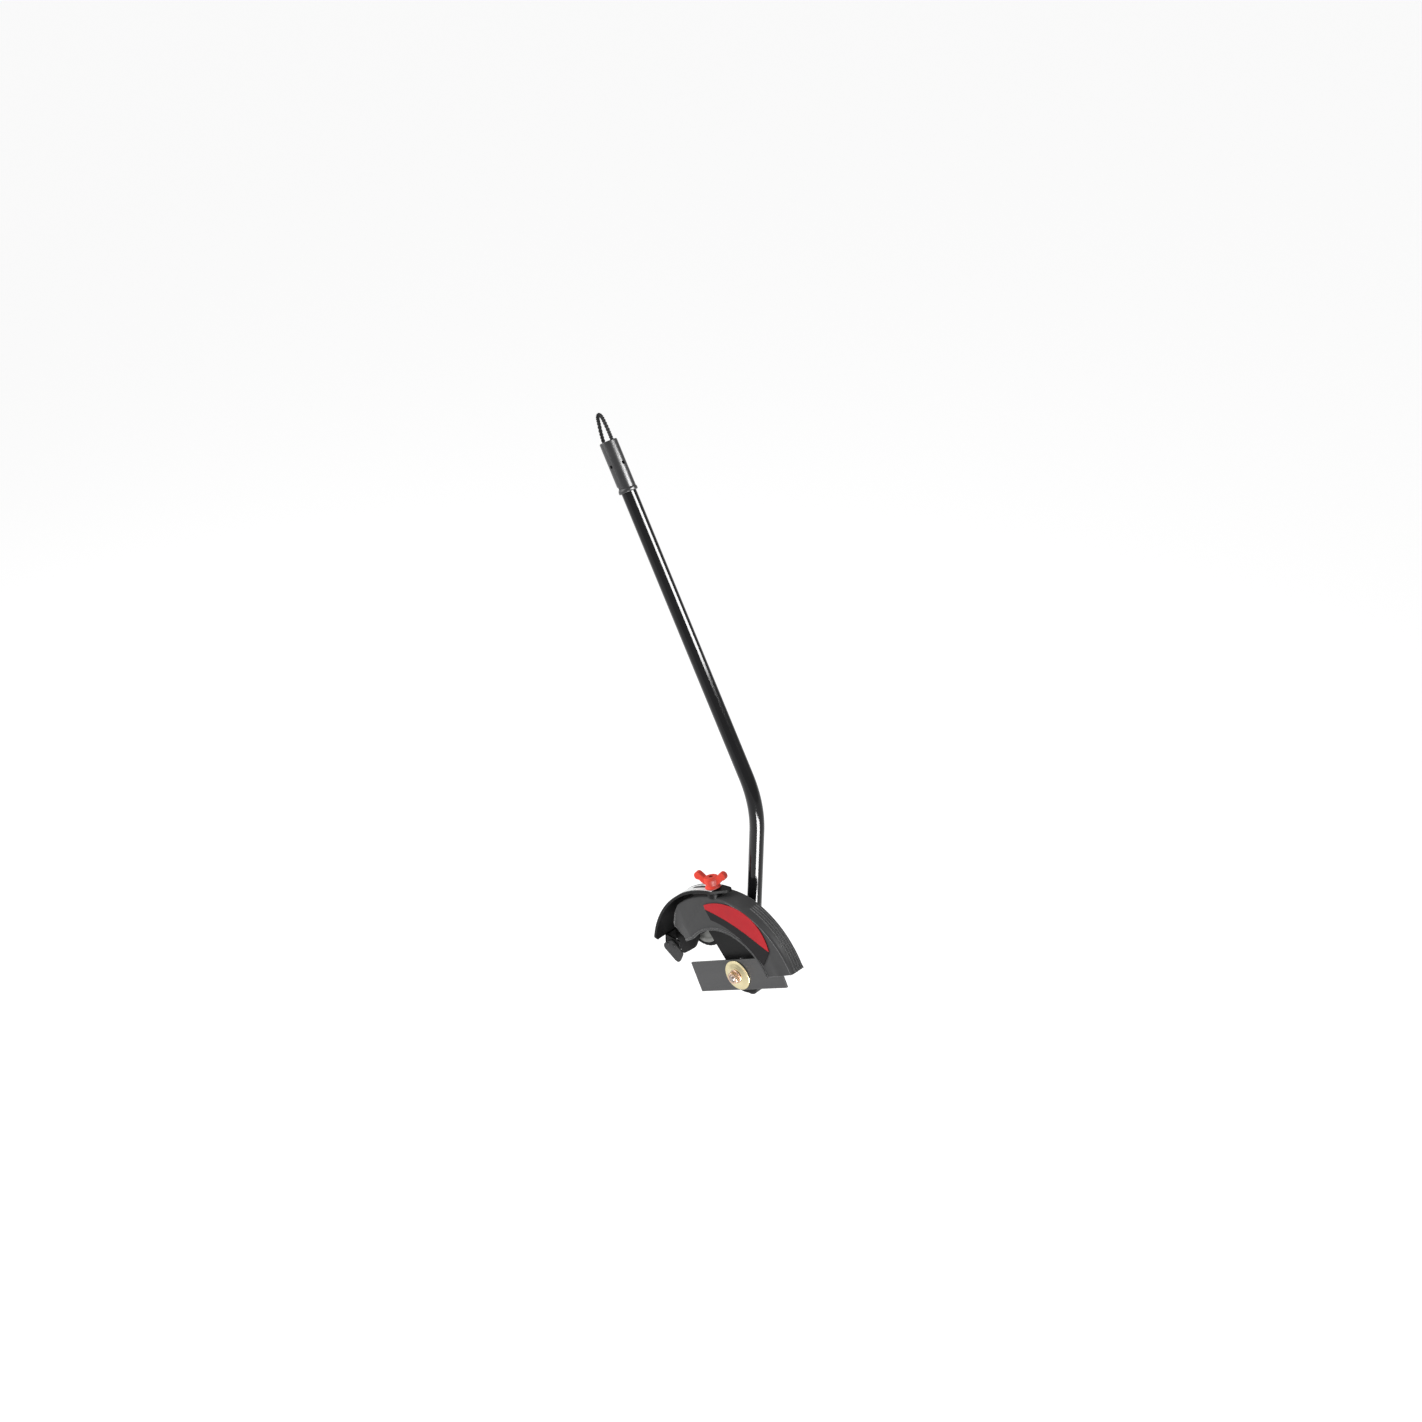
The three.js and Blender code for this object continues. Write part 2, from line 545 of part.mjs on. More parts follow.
function buildGuard() {
  const drum = draft(plate(
    guardOutline(GUARD_R_FRONT, ARCH_R, GUARD_END_POINTS, GUARD_RIGHT, GUARD_LEFT),
    GUARD_FRONT, GUARD_EDGE, GUARD_STEPS,
  ));
  // The open edge slopes towards the face as it nears the guard's right end.
  const behind = box(160, 20, 200, 80, 10, 100).rotateZ(-GUARD_EDGE_SLOPE).translate(0, GUARD_EDGE, 0);
  const shell = cut(drum, behind);
  const innerEnd = [[-113.3, 66.5], [-118.3, 48], [-116.5, 37], [-60, 0]];
  const hollow = draft(plate(
    guardOutline(GUARD_R_FRONT - GUARD_WALL, 40, innerEnd, GUARD_RIGHT - 0.1, GUARD_LEFT),
    GUARD_FRONT + GUARD_WALL, GUARD_EDGE + 5, GUARD_STEPS,
  ));
  const lip = plate(
    sector(ARCH_R, ARCH_R + 3.5, GUARD_RIGHT, ARCH_END), GUARD_FRONT - 2, GUARD_FRONT + 1, GUARD_STEPS,
  );
  const padTop = BAND_R - BAND_THICK - 3 * GAP;
  const pad = turned(discProfile(11, GUARD_R_FRONT - 1, padTop), 20);
  const padPlace = new THREE.Matrix4().makeRotationY(Math.PI / 2 - BOLT_ANGLE).setPosition(0, BOLT_Y, 0);
  const boltHole = turned(discProfile(BOLT_R + GAP, 100, 160), 16);
  pad.applyMatrix4(padPlace);
  boltHole.applyMatrix4(padPlace);

  // The rear plate fans out from the gear head to the outer wall and carries the guard.
  const fan = new THREE.Shape();
  fan.absarc(0, 0, GUARD_PLATE_R, GUARD_PLATE_FROM, 143.5 * DEG, false);
  fan.absarc(0, 0, 35, 170 * DEG, 385 * DEG, false);
  fan.closePath();
  const plateFront = GUARD_PLATE_BACK - GUARD_PLATE_THICK;
  const rear = plate(fan, plateFront, GUARD_PLATE_BACK, GUARD_STEPS);
  const rim = plate(
    sector(GUARD_PLATE_R - GUARD_WALL, GUARD_PLATE_R, GUARD_PLATE_FROM, GUARD_LEFT),
    GUARD_EDGE - 4, GUARD_PLATE_BACK - 1, GUARD_STEPS,
  );
  const spindleHole = turnedY(discProfile(16, -30, -10), 24);
  const screwHoles = screwAngles().map((phi) => {
    const [x, z] = polar(FLANGE_SCREW_PCR, phi);
    return turnedY(discProfile(2.6, -30, -10), 12).translate(x, 0, z);
  });
  const openShell = cut(join(shell, lip), hollow);
  add('guard_shell', cut(join(openShell, rim, rear, pad), boltHole, spindleHole, ...screwHoles), 'guard_grey');

  screwAngles().forEach((phi, index) => {
    const [x, z] = polar(FLANGE_SCREW_PCR, phi);
    const under = plateFront - GAP;
    const screw = turnedY([
      [0, under - 2.6], [4, under - 2.6], [4, under], [1.6, under], [1.6, BARREL_FRONT + 5.3],
      [0, BARREL_FRONT + 5.3],
    ], 12).translate(x, 0, z);
    add(`guard_screw_${index + 1}`, screw, 'steel');
  });

  // A plain two-tone badge: a crescent plate on the face, with no marking.
  const badge = new THREE.Shape();
  badge.moveTo(-53, 113);
  badge.bezierCurveTo(-22, 140, 52, 154, 75, 91);
  badge.lineTo(66, 62);
  badge.quadraticCurveTo(14, 100.5, -38, 93);
  add('badge_plate', plate(badge, GUARD_FRONT - 1.1, GUARD_FRONT - GAP, 16), 'badge_red');
}

// ---------------------------------------------------------------- depth bracket, wheel, knob

function buildBracket() {
  const innerR = BAND_R - BAND_THICK;
  const strap = plate(sector(innerR, BAND_R, BAND_TOP, BAND_END), BAND_FRONT, BAND_BACK, 26);
  const wide = plate(sector(innerR, BAND_R, BAND_WIDE_FROM, BAND_END), BAND_BACK - 1, WEB_BACK, 13);

  const web = new THREE.Shape();
  web.absarc(0, 0, innerR + 1, 140 * DEG, BAND_END, false);
  web.lineTo(-140, -22);
  web.lineTo(-128.6, -35.4);
  web.lineTo(-114, -21.5);
  web.lineTo(-103.7, -10.7);
  web.lineTo(-98.5, 4.5);
  web.lineTo(-97, 19);
  web.absarc(AXLE_X, AXLE_Z, 13, -80 * DEG, 20 * DEG, false);
  web.lineTo(-94, 62);
  web.closePath();
  const lugFrom = BAND_END - 0.3 * DEG;
  const lug = plate(sector(118, innerR + 1, lugFrom, 186 * DEG), -35.2, -32.2, 4);
  const lugStrut = plate(sector(innerR - 2, innerR + 1, lugFrom, 186 * DEG), -35.2, WEB_BACK, 4);
  const axleHole = turnedY(discProfile(AXLE_R + GAP, -30, 0), 16).translate(AXLE_X, 0, AXLE_Z);

  // The curved slot lets the bracket swing about the blade's axis past the clamped bolt.
  const slotHalf = BOLT_R + 0.6;
  const slotTurn = slotHalf / BAND_R;
  const slot = plate(
    sector(BAND_R - 6, BAND_R + 4, BOLT_ANGLE - slotTurn, BOLT_ANGLE + SLOT_TRAVEL + slotTurn),
    BOLT_Y - slotHalf, BOLT_Y + slotHalf, 6,
  );

  // The band's front corners are cut off: the upper end narrows past the knob, the foot is blunted.
  const cornerCut = box(80, 40, 30, 0, 0, 0).rotateZ(END_CUT_ANGLE).translate(2.1, BAND_FRONT - 5.6, BAND_R)
    .rotateY(Math.PI / 2 - BAND_TOP);
  const footCut = box(8, 20, 12, 0, 0, 0).rotateZ(Math.PI / 4).translate(0, BAND_FRONT, BAND_R)
    .rotateY(Math.PI / 2 - BAND_END);
  const rivetHoles = rivetPlaces().map(([x, z]) => turnedY(discProfile(2.3, -45, -30), 10).translate(x, 0, z));
  add('depth_bracket', cut(
    join(strap, wide, plate(web, WEB_FRONT, WEB_BACK, 12), lug, lugStrut),
    axleHole, slot, cornerCut, footCut, ...rivetHoles,
  ), 'black_plastic');

  const scaleR = BAND_R + GAP;
  const scale = plate(
    sector(scaleR, scaleR + SCALE_THICK, 104 * DEG, 131 * DEG), BAND_FRONT + 2, BAND_BACK - 2, 8,
  );
  add('depth_scale_plate', cut(scale, slot), 'silver_label');

  const flap = polygon([
    [-132.1, 2.4], [-145, -8.5], [-148.6, -13], [-147.5, -19.5], [-122, -33], [-116.5, -33],
    [-113, -28], [-108.4, -15], [-109.5, -10.5],
  ]);
  const flapHoles = rivetPlaces().map(([x, z]) => turnedY(discProfile(2.3, -45, -30), 10).translate(x, 0, z));
  add('debris_flap', cut(plate(flap, -38.5, -35.5), ...flapHoles), 'rubber');
  rivetPlaces().forEach(([x, z], index) => {
    const rivet = turnedY([
      [0, -39.8], [2.4, -39.8], [3, -39.2], [3, -38.8], [2, -38.8], [2, -31.9], [3, -31.9], [3, -30.9], [0, -30.9],
    ], 12).translate(x, 0, z);
    add(`flap_rivet_${index + 1}`, rivet, 'cast_black');
  });
}

const rivetPlaces = () => [[-139.5, -8], [-127, -6]];

function buildWheel() {
  const place = (geometry) => geometry.translate(AXLE_X, 0, AXLE_Z);
  add('wheel_rim', place(turnedY([
    [AXLE_R + GAP, WHEEL_FRONT + 1], [9, WHEEL_FRONT + 1], [10, WHEEL_FRONT + 4], [24, WHEEL_FRONT + 2.5],
    [RIM_R, WHEEL_FRONT], [RIM_R, WHEEL_BACK], [24, WHEEL_BACK - 2.5], [10, WHEEL_BACK - 4],
    [9, WHEEL_BACK - 1], [AXLE_R + GAP, WHEEL_BACK - 1], [AXLE_R + GAP, WHEEL_FRONT + 1],
  ], 36)), 'silver_label');
  add('wheel_tyre', place(turnedY([
    [RIM_R + GAP, WHEEL_FRONT], [WHEEL_R - 2, WHEEL_FRONT], [WHEEL_R, WHEEL_FRONT + 2],
    [WHEEL_R, WHEEL_BACK - 2], [WHEEL_R - 2, WHEEL_BACK], [RIM_R + GAP, WHEEL_BACK],
    [RIM_R + GAP, WHEEL_FRONT],
  ], 36)), 'rubber');
  const headBack = WEB_FRONT - GAP;
  const hexR = 6.5 / Math.cos(Math.PI / 6);
  const head = turnedY(discProfile(hexR, headBack - 3.9, headBack), 6);
  const shank = turnedY(discProfile(AXLE_R, headBack - 1, WHEEL_BACK + 10), 16);
  add('wheel_axle_bolt', place(join(head, shank)), 'steel');
  add('wheel_spacer', place(turnedY(ringProfile(AXLE_R + GAP, 7.5, WEB_BACK + GAP, WHEEL_FRONT + 1 - GAP), 16)), 'steel');
  add('wheel_washer', place(turnedY(ringProfile(AXLE_R + GAP, 8.5, WHEEL_BACK - 0.7, WHEEL_BACK + 0.9), 20)), 'steel');
  const nut = turnedY(discProfile(hexR, WHEEL_BACK + 1.2, WHEEL_BACK + 7.6), 6);
  const nutHole = turnedY(discProfile(AXLE_R + GAP, WHEEL_BACK, WHEEL_BACK + 9), 16);
  add('wheel_lock_nut', place(cut(nut, nutHole)), 'steel');
}

function buildKnob() {
  const seatR = BAND_R + SCALE_THICK + 2 * GAP;
  const headTop = GUARD_R_FRONT - GUARD_WALL - 0.4;
  add('clamp_bolt', turned([
    [0, headTop - 3.6], [5.4, headTop - 3.6], [5.4, headTop], [BOLT_R, headTop],
    [BOLT_R, seatR + 13.8], [0, seatR + 13.8],
  ], 20), 'steel', knobSeat);
  add('knob_washer', turned(ringProfile(BOLT_R + GAP, WASHER_R, seatR, seatR + WASHER_THICK), 24), 'steel', knobSeat);

  const base = seatR + WASHER_THICK + GAP;
  const hub = turned([
    [0, base - 0.8], [12, base - 0.8], [12.2, base + 1.2], [10, base + 2.6], [8.8, base + 4],
    [10.6, base + 9.5], [11.2, base + 14], [9.8, base + 16.8], [0, base + 16.8],
  ], 28);
  const wings = new THREE.Shape();
  wings.moveTo(-8, base + 4.8);
  wings.quadraticCurveTo(-14, base + 7, -18.5, base + 11.8);
  wings.absarc(-20.8, base + 18.2, 6.4, -70 * DEG, -250 * DEG, true);
  wings.quadraticCurveTo(-14, base + 20.5, -9, base + 14.3);
  wings.lineTo(9, base + 14.3);
  wings.quadraticCurveTo(14, base + 20.5, 18.6, base + 24.2);
  wings.absarc(20.8, base + 18.2, 6.4, 70 * DEG, -110 * DEG, true);
  wings.quadraticCurveTo(14, base + 7, 8, base + 4.8);
  wings.closePath();
  const grip = plate(wings, -4.6, 4.6, 8);
  const counterbore = turned(discProfile(WASHER_R + 0.4, base - 1, base), 24);
  const bore = turned(discProfile(6.3, base - 1, base + 13.2), 20);
  const topHole = turned(discProfile(3.4, base + 10, base + 18), 16);
  const knob = cut(join(hub, grip), counterbore, bore, topHole).rotateZ(KNOB_YAW);
  add('wing_knob', knob, 'red_plastic', knobSeat);
  add('knob_insert', turned(ringProfile(BOLT_R + GAP, 6, base + 0.4, base + 12.3), 20), 'brass', knobSeat);
}

function buildClampScrews() {
  [-7, 7].forEach((dz, index) => {
    const screw = new THREE.LatheGeometry([
      [0, -10], [2, -10], [2, 6.3], [3.6, 6.3], [3.6, 9.8], [0, 9.8],
    ].map(([r, h]) => new THREE.Vector2(r, h)), 12);
    add(`tube_clamp_screw_${index + 1}`, screw.rotateX(Math.PI).translate(21, 0, NECK_TOP - 15 + dz), 'steel');
  });
}

buildShaft();
buildHanger();
buildHousing();
buildGearboxCover();
buildGearTrain();
buildBlade();
buildGuard();
buildBracket();
buildWheel();
buildKnob();
buildClampScrews();

edger.position.set(
  TUBE_TOP * Math.sin(BEND_ANGLE), 0, -(BEND_CORNER_Z + TUBE_TOP * Math.cos(BEND_ANGLE)),
);

export default edger;
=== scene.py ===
"""Looks for the powered edger attachment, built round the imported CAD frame.

Pieces are drawn in millimetres in the places that the CAD uses: round the gear head, along the
upper tube, on the knob's bolt and on the wheel's axle. Angles named phi go round the blade's axis,
from +X towards +Z.
"""
import json
import math

import bmesh
import bpy
from mathutils import Matrix, Vector


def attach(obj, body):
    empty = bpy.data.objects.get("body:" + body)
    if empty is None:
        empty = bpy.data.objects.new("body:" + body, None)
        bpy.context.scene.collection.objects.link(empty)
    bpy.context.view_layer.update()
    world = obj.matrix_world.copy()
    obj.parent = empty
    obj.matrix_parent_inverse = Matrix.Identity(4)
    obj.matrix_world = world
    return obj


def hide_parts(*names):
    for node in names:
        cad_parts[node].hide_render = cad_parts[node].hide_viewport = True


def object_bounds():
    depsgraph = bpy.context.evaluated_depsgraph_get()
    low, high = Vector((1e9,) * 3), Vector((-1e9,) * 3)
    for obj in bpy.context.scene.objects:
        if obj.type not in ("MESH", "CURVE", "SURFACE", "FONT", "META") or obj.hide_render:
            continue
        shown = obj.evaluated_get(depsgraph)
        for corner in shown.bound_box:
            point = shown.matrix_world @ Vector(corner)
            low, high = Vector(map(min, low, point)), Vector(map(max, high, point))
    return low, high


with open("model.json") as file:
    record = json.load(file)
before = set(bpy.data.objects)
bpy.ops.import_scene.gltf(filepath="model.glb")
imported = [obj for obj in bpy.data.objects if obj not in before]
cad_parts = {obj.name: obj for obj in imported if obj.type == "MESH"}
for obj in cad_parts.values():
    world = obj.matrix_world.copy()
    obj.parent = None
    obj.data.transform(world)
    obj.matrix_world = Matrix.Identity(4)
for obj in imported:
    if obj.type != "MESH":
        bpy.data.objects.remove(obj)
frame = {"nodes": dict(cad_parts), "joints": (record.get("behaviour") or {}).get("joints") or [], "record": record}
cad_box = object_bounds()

NODES = frame["nodes"]
BODY_OF = {
    node: body
    for body, nodes in frame["record"]["behaviour"]["bodies"].items()
    for node in nodes
}
SLOT_OF = {part["node"]: part["material_slot"] for part in frame["record"]["subparts"]}
JOINTS = {joint["name"]: joint for joint in frame["joints"]}
DEG = math.pi / 180

# The shaft and the cap.
TUBE_R = 11.1
TUBE_BORE_R = 9.5
TUBE_BOTTOM = 48
TUBE_TOP = 545
BEND_ANGLE = 31.8 * DEG
BEND_CORNER_Z = 286.3
BEND_R = 155
CAP_R = 13.2
CAP_BOTTOM = 486
CAP_TOP = 562.8
CAP_ROOF = 10
CAP_HOLE_R = 2.6
CAP_HOLE_HEIGHT = 41
CAP_NOTCH_HEIGHT = 9
CAP_NOTCH_HALF = 6
CAP_NOTCH_TURN = 50 * DEG
LOOP_LEG_X = 9.3
LOOP_HOLE_R = 2.7

# The blade and what clamps it.
BLADE_LENGTH = 190.5
BLADE_WIDTH = 49.5
BLADE_BACK = -30.4
BLADE_FRONT = -33.4
BLADE_ANGLE = 29.2 * DEG
CUP_R = 23.9
CUP_BACK = -33.7
NUT_BACK = -38.5
NUT_ACROSS_FLATS = 17
SPINDLE_R = 6
SPINDLE_FRONT = -49
SPINDLE_BACK = 23.4
THREAD_R = 4.9
THREAD_PITCH = 1.5
THREAD_DEPTH = 0.75
THREAD_END = -34.4

# The guard.
GUARD_FRONT = -54
GUARD_EDGE = -20.8
GUARD_EDGE_SLOPE = 3.8 * DEG
GUARD_WALL = 3
GUARD_R = 138.5
GUARD_R_EDGE = 139.5
ARCH_R = 83.5
ARCH_END = 149 * DEG
GUARD_RIGHT = 31 * DEG
GUARD_LEFT = 141 * DEG
GUARD_END = [(-116.5, 68), (-121.5, 48), (-118.5, 41.5)]
GUARD_CORNER = (-91, 25.5)
FACE_SUNK = 0.6
BADGE_FRONT = GUARD_FRONT - 1.1
BADGE_BACK = GUARD_FRONT - 0.15
BADGE_GAP = 0.35
CARRIER_R = 137
CARRIER_FRONT = -22.8
CARRIER_BACK = -19.8
CARRIER_NECK_R = 35
CARRIER_HOLE_R = 16
SCREW_CIRCLE_R = 23
SCREW_HOLE_R = 2.6
SCREW_ANGLES = (90, 210, 330)

# The bracket, its wheel and the knob.
BAND_R = 150
BAND_THICK = 3
BAND_FRONT = -59
BAND_BACK = -30
BAND_TOP = 96.5 * DEG
BAND_WIDE_FROM = 135 * DEG
BAND_END = 178.5 * DEG
BAND_BEAD = 0.8
WEB_FRONT = -14
WEB_BACK = -11
LUG_FRONT = -35.2
LUG_BACK = -32.2
LUG_FROM = 178.2 * DEG
LUG_TO = 186 * DEG
SLOT_TRAVEL = 15 * DEG
SLOT_HALF = 3.6
SCALE_R = 150.3
SCALE_THICK = 0.8
FLAP_FRONT = -38.5
FLAP_BACK = -35.5
BOLT_ANGLE = 106.5 * DEG
BOLT_Y = -45
AXLE = (-96, 34)
AXLE_EYE_R = 13
WHEEL_R = 38
RIM_R = 31.5
WHEEL_FRONT = -7.5
WHEEL_BACK = 14.5
KNOB_BASE = 152.5
KNOB_YAW = 12 * DEG

HEAD = Vector(JOINTS["blade_spin"]["pos_m"])
HEAD_MM = Matrix.Translation(HEAD) @ Matrix.Scale(0.001, 4)
SHAFT_MM = HEAD_MM @ Matrix.Translation((0, 0, BEND_CORNER_Z)) @ Matrix.Rotation(-BEND_ANGLE, 4, "Y")
AXLE_MM = HEAD_MM @ Matrix.Translation((AXLE[0], 0, AXLE[1]))


def spoke(phi):
    """The place in the bolt's plane whose Z runs outwards from the blade's axis at an angle."""
    return HEAD_MM @ Matrix.Translation((0, BOLT_Y, 0)) @ Matrix.Rotation(math.pi / 2 - phi, 4, "Y")


def round_shaft(height, turn):
    """The place on the shaft's axis at a height, turned about that axis."""
    return SHAFT_MM @ Matrix.Translation((0, 0, height)) @ Matrix.Rotation(turn, 4, "Z")


BOLT_MM = spoke(BOLT_ANGLE)

# ------------------------------------------------------------------ camera, floor and light

EYE = Vector((1.6845, -1.7110, 0.8890))
VIEW_AZIMUTH = 41.062 * DEG
VIEW_ELEVATION = 28.508 * DEG
VIEW_ROLL = 1.12 * DEG
LENS = 45.225
SENSOR = 36
FLOOR_DROP = 1.1
FLOOR_REACH = 40
FLOOR_GLOW = 0.5
WORLD_GLOW = 0.5
STRIP_RADIANCE = 42
FRONT_RADIANCE = 4


def make_camera():
    back = Vector((
        math.sin(VIEW_AZIMUTH) * math.cos(VIEW_ELEVATION),
        -math.cos(VIEW_AZIMUTH) * math.cos(VIEW_ELEVATION),
        math.sin(VIEW_ELEVATION),
    ))
    level = Vector((math.cos(VIEW_AZIMUTH), math.sin(VIEW_AZIMUTH), 0))
    upright = back.cross(level)
    across = level * math.cos(VIEW_ROLL) + upright * math.sin(VIEW_ROLL)
    up = upright * math.cos(VIEW_ROLL) - level * math.sin(VIEW_ROLL)
    camera = bpy.data.cameras.new("camera")
    camera.lens = LENS
    camera.sensor_width = SENSOR
    camera.clip_end = 100
    holder = bpy.data.objects.new("camera", camera)
    axes = Matrix((across, up, back)).transposed().to_4x4()
    holder.matrix_world = Matrix.Translation(EYE) @ axes
    bpy.context.scene.collection.objects.link(holder)
    bpy.context.scene.camera = holder


def softbox(name, place, aim, width, height, radiance, diffuse=True):
    """A rectangular light at a place that faces a point."""
    light = bpy.data.lights.new(name, "AREA")
    light.shape = "RECTANGLE"
    light.size = width
    light.size_y = height
    light.energy = radiance * math.pi * width * height
    holder = bpy.data.objects.new(name, light)
    holder.location = place
    holder.rotation_euler = (Vector(aim) - Vector(place)).to_track_quat("-Z", "Y").to_euler()
    holder.visible_camera = False
    holder.visible_diffuse = diffuse
    bpy.context.scene.collection.objects.link(holder)


def make_studio():
    world = bpy.data.worlds.new("studio")
    world.use_nodes = True
    world.node_tree.nodes["Background"].inputs["Color"].default_value = (1, 1, 1, 1)
    world.node_tree.nodes["Background"].inputs["Strength"].default_value = WORLD_GLOW
    bpy.context.scene.world = world
    bpy.context.scene.view_settings.view_transform = "Standard"

    low, high = cad_box
    middle = (low + high) / 2
    for name, y, z, width, height in (
        ("upper_strip", 0.5, 0.76, 1.1, 0.8),
        ("lower_strip", -0.68, -1.34, 1.0, 0.95),
    ):
        softbox(name, (1.45, y, z), (0.45, y, z), width, height, STRIP_RADIANCE, diffuse=False)
    softbox("front_light", (-1.6, -1.7, 0.8), middle, 2.4, 2.4, FRONT_RADIANCE)

    mesh = bpy.data.meshes.new("floor")
    z = low.z - FLOOR_DROP
    corners = [(x * FLOOR_REACH, y * FLOOR_REACH, z) for x, y in ((-1, -1), (1, -1), (1, 1), (-1, 1))]
    mesh.from_pydata(corners, [], [(0, 1, 2, 3)])
    floor = bpy.data.objects.new("floor", mesh)
    bpy.context.scene.collection.objects.link(floor)
    material = bpy.data.materials.new("floor")
    material.use_nodes = True
    shader = material.node_tree.nodes["Principled BSDF"]
    shader.inputs["Base Color"].default_value = (0.9, 0.9, 0.9, 1)
    shader.inputs["Roughness"].default_value = 0.9
    shader.inputs["Emission Color"].default_value = (1, 1, 1, 1)
    shader.inputs["Emission Strength"].default_value = FLOOR_GLOW
    mesh.materials.append(material)


make_camera()
make_studio()

# ------------------------------------------------------------------ materials


def surface(name, color, roughness, metallic=0.0, specular=0.5, mottle=0.12, mottle_scale=35,
            grain=0.1, grain_scale=1400, grain_depth=0.0002, roughness_spread=0.08,
            stretch=(1, 1, 1), turn=0.0, edge=None, edge_radius=0.0006):
    """A material whose colour, roughness and relief vary over the piece, with edge wear and a painted edge
    highlight if asked.

    Its pattern can be stretched along X and turned about the blade's axis.
    """
    material = bpy.data.materials.new(name)
    material.use_nodes = True
    tree = material.node_tree
    new = tree.nodes.new
    link = tree.links.new
    shader = tree.nodes["Principled BSDF"]
    shader.inputs["Metallic"].default_value = metallic
    shader.inputs["Specular IOR Level"].default_value = specular

    where = new("ShaderNodeTexCoord")
    mapping = new("ShaderNodeMapping")
    mapping.vector_type = "TEXTURE"
    mapping.inputs["Rotation"].default_value = (0, turn, 0)
    mapping.inputs["Scale"].default_value = stretch
    link(where.outputs["Object"], mapping.inputs["Vector"])

    def noise(scale, detail, lumpiness):
        node = new("ShaderNodeTexNoise")
        node.inputs["Scale"].default_value = scale
        node.inputs["Detail"].default_value = detail
        node.inputs["Roughness"].default_value = lumpiness
        link(mapping.outputs["Vector"], node.inputs["Vector"])
        return node.outputs["Fac"]

    clouds = noise(mottle_scale, 5, 0.6)
    ramp = new("ShaderNodeValToRGB")
    ramp.color_ramp.elements[0].position = 0.3
    ramp.color_ramp.elements[1].position = 0.7
    ramp.color_ramp.elements[0].color = (*[c * (1 - mottle) for c in color], 1)
    ramp.color_ramp.elements[1].color = (*[min(1, c * (1 + mottle)) for c in color], 1)
    link(clouds, ramp.inputs["Fac"])
    tint = ramp.outputs["Color"]

    # Sharp edges take the edge colour: partly wear, partly a painted highlight along edges and ridges.
    if edge:
        bevel = new("ShaderNodeBevel")
        bevel.samples = 4
        bevel.inputs["Radius"].default_value = edge_radius
        flat = new("ShaderNodeNewGeometry")
        match = new("ShaderNodeVectorMath")
        match.operation = "DOT_PRODUCT"
        link(bevel.outputs["Normal"], match.inputs[0])
        link(flat.outputs["Normal"], match.inputs[1])
        edge_wear_and_highlight = new("ShaderNodeMapRange")
        edge_wear_and_highlight.inputs["From Min"].default_value = 0.995
        edge_wear_and_highlight.inputs["From Max"].default_value = 0.9
        link(match.outputs["Value"], edge_wear_and_highlight.inputs["Value"])
        mix = new("ShaderNodeMix")
        mix.data_type = "RGBA"
        link(edge_wear_and_highlight.outputs["Result"], mix.inputs["Factor"])
        link(tint, mix.inputs["A"])
        mix.inputs["B"].default_value = (*edge, 1)
        tint = mix.outputs["Result"]
    link(tint, shader.inputs["Base Color"])

    gloss = new("ShaderNodeMapRange")
    gloss.inputs["From Min"].default_value = 0.3
    gloss.inputs["From Max"].default_value = 0.7
    gloss.inputs["To Min"].default_value = roughness - roughness_spread / 2
    gloss.inputs["To Max"].default_value = roughness + roughness_spread / 2
    link(clouds, gloss.inputs["Value"])
    link(gloss.outputs["Result"], shader.inputs["Roughness"])

    bump = new("ShaderNodeBump")
    bump.inputs["Strength"].default_value = grain
    bump.inputs["Distance"].default_value = grain_depth
    link(noise(grain_scale, 3, 0.55), bump.inputs["Height"])
    link(bump.outputs["Normal"], shader.inputs["Normal"])
    return material


BLACK_PAINT = surface(
    "black_paint", (0.008, 0.008, 0.009), 0.11, specular=0.3, mottle=0.2, mottle_scale=12,
    roughness_spread=0.04, grain=0.05, grain_scale=420, grain_depth=0.0004)
LINER = surface("liner_plastic", (0.62, 0.6, 0.55), 0.5)
STEEL = surface(
    "steel", (0.42, 0.42, 0.43), 0.33, metallic=1, mottle=0.18, mottle_scale=160, grain=0.12,
    roughness_spread=0.14, edge=(0.6, 0.6, 0.6), edge_radius=0.0003)
BRASS = surface(
    "brass", (0.5, 0.36, 0.27), 0.34, metallic=1, mottle=0.2, mottle_scale=170, grain=0.12,
    roughness_spread=0.15)
SPINDLE_STEEL = surface(
    "spindle_steel", (0.3, 0.25, 0.22), 0.38, metallic=1, mottle=0.2, mottle_scale=160, grain=0.15,
    roughness_spread=0.15)
CAP_PLASTIC = surface(
    "cap_plastic", (0.034, 0.034, 0.036), 0.32, specular=0.45, mottle=0.12, grain=0.22,
    grain_scale=1700, edge=(0.075, 0.075, 0.078))
LOOP_COVER = surface(
    "loop_cover", (0.018, 0.018, 0.019), 0.55, specular=0.15, grain=0.2, grain_scale=2200)
CAST_BLACK = surface(
    "cast_black", (0.016, 0.016, 0.017), 0.42, specular=0.2, mottle=0.2, mottle_scale=60, grain=0.6,
    grain_scale=900, grain_depth=0.0004, edge=(0.05, 0.05, 0.052), edge_radius=0.0008)
RUBBER = surface(
    "rubber", (0.05, 0.05, 0.051), 0.62, specular=0.1, mottle=0.14, mottle_scale=90, grain=0.5,
    edge=(0.02, 0.02, 0.02), edge_radius=0.0008)
BLADE_STEEL = surface(
    "blade_steel", (0.074, 0.074, 0.0755), 0.45, metallic=0.6, specular=0.3, mottle=0.12,
    mottle_scale=40, grain=0.2, grain_scale=900, stretch=(20, 1, 1), turn=-BLADE_ANGLE,
    roughness_spread=0.1, edge=(0.2, 0.2, 0.2), edge_radius=0.0005)
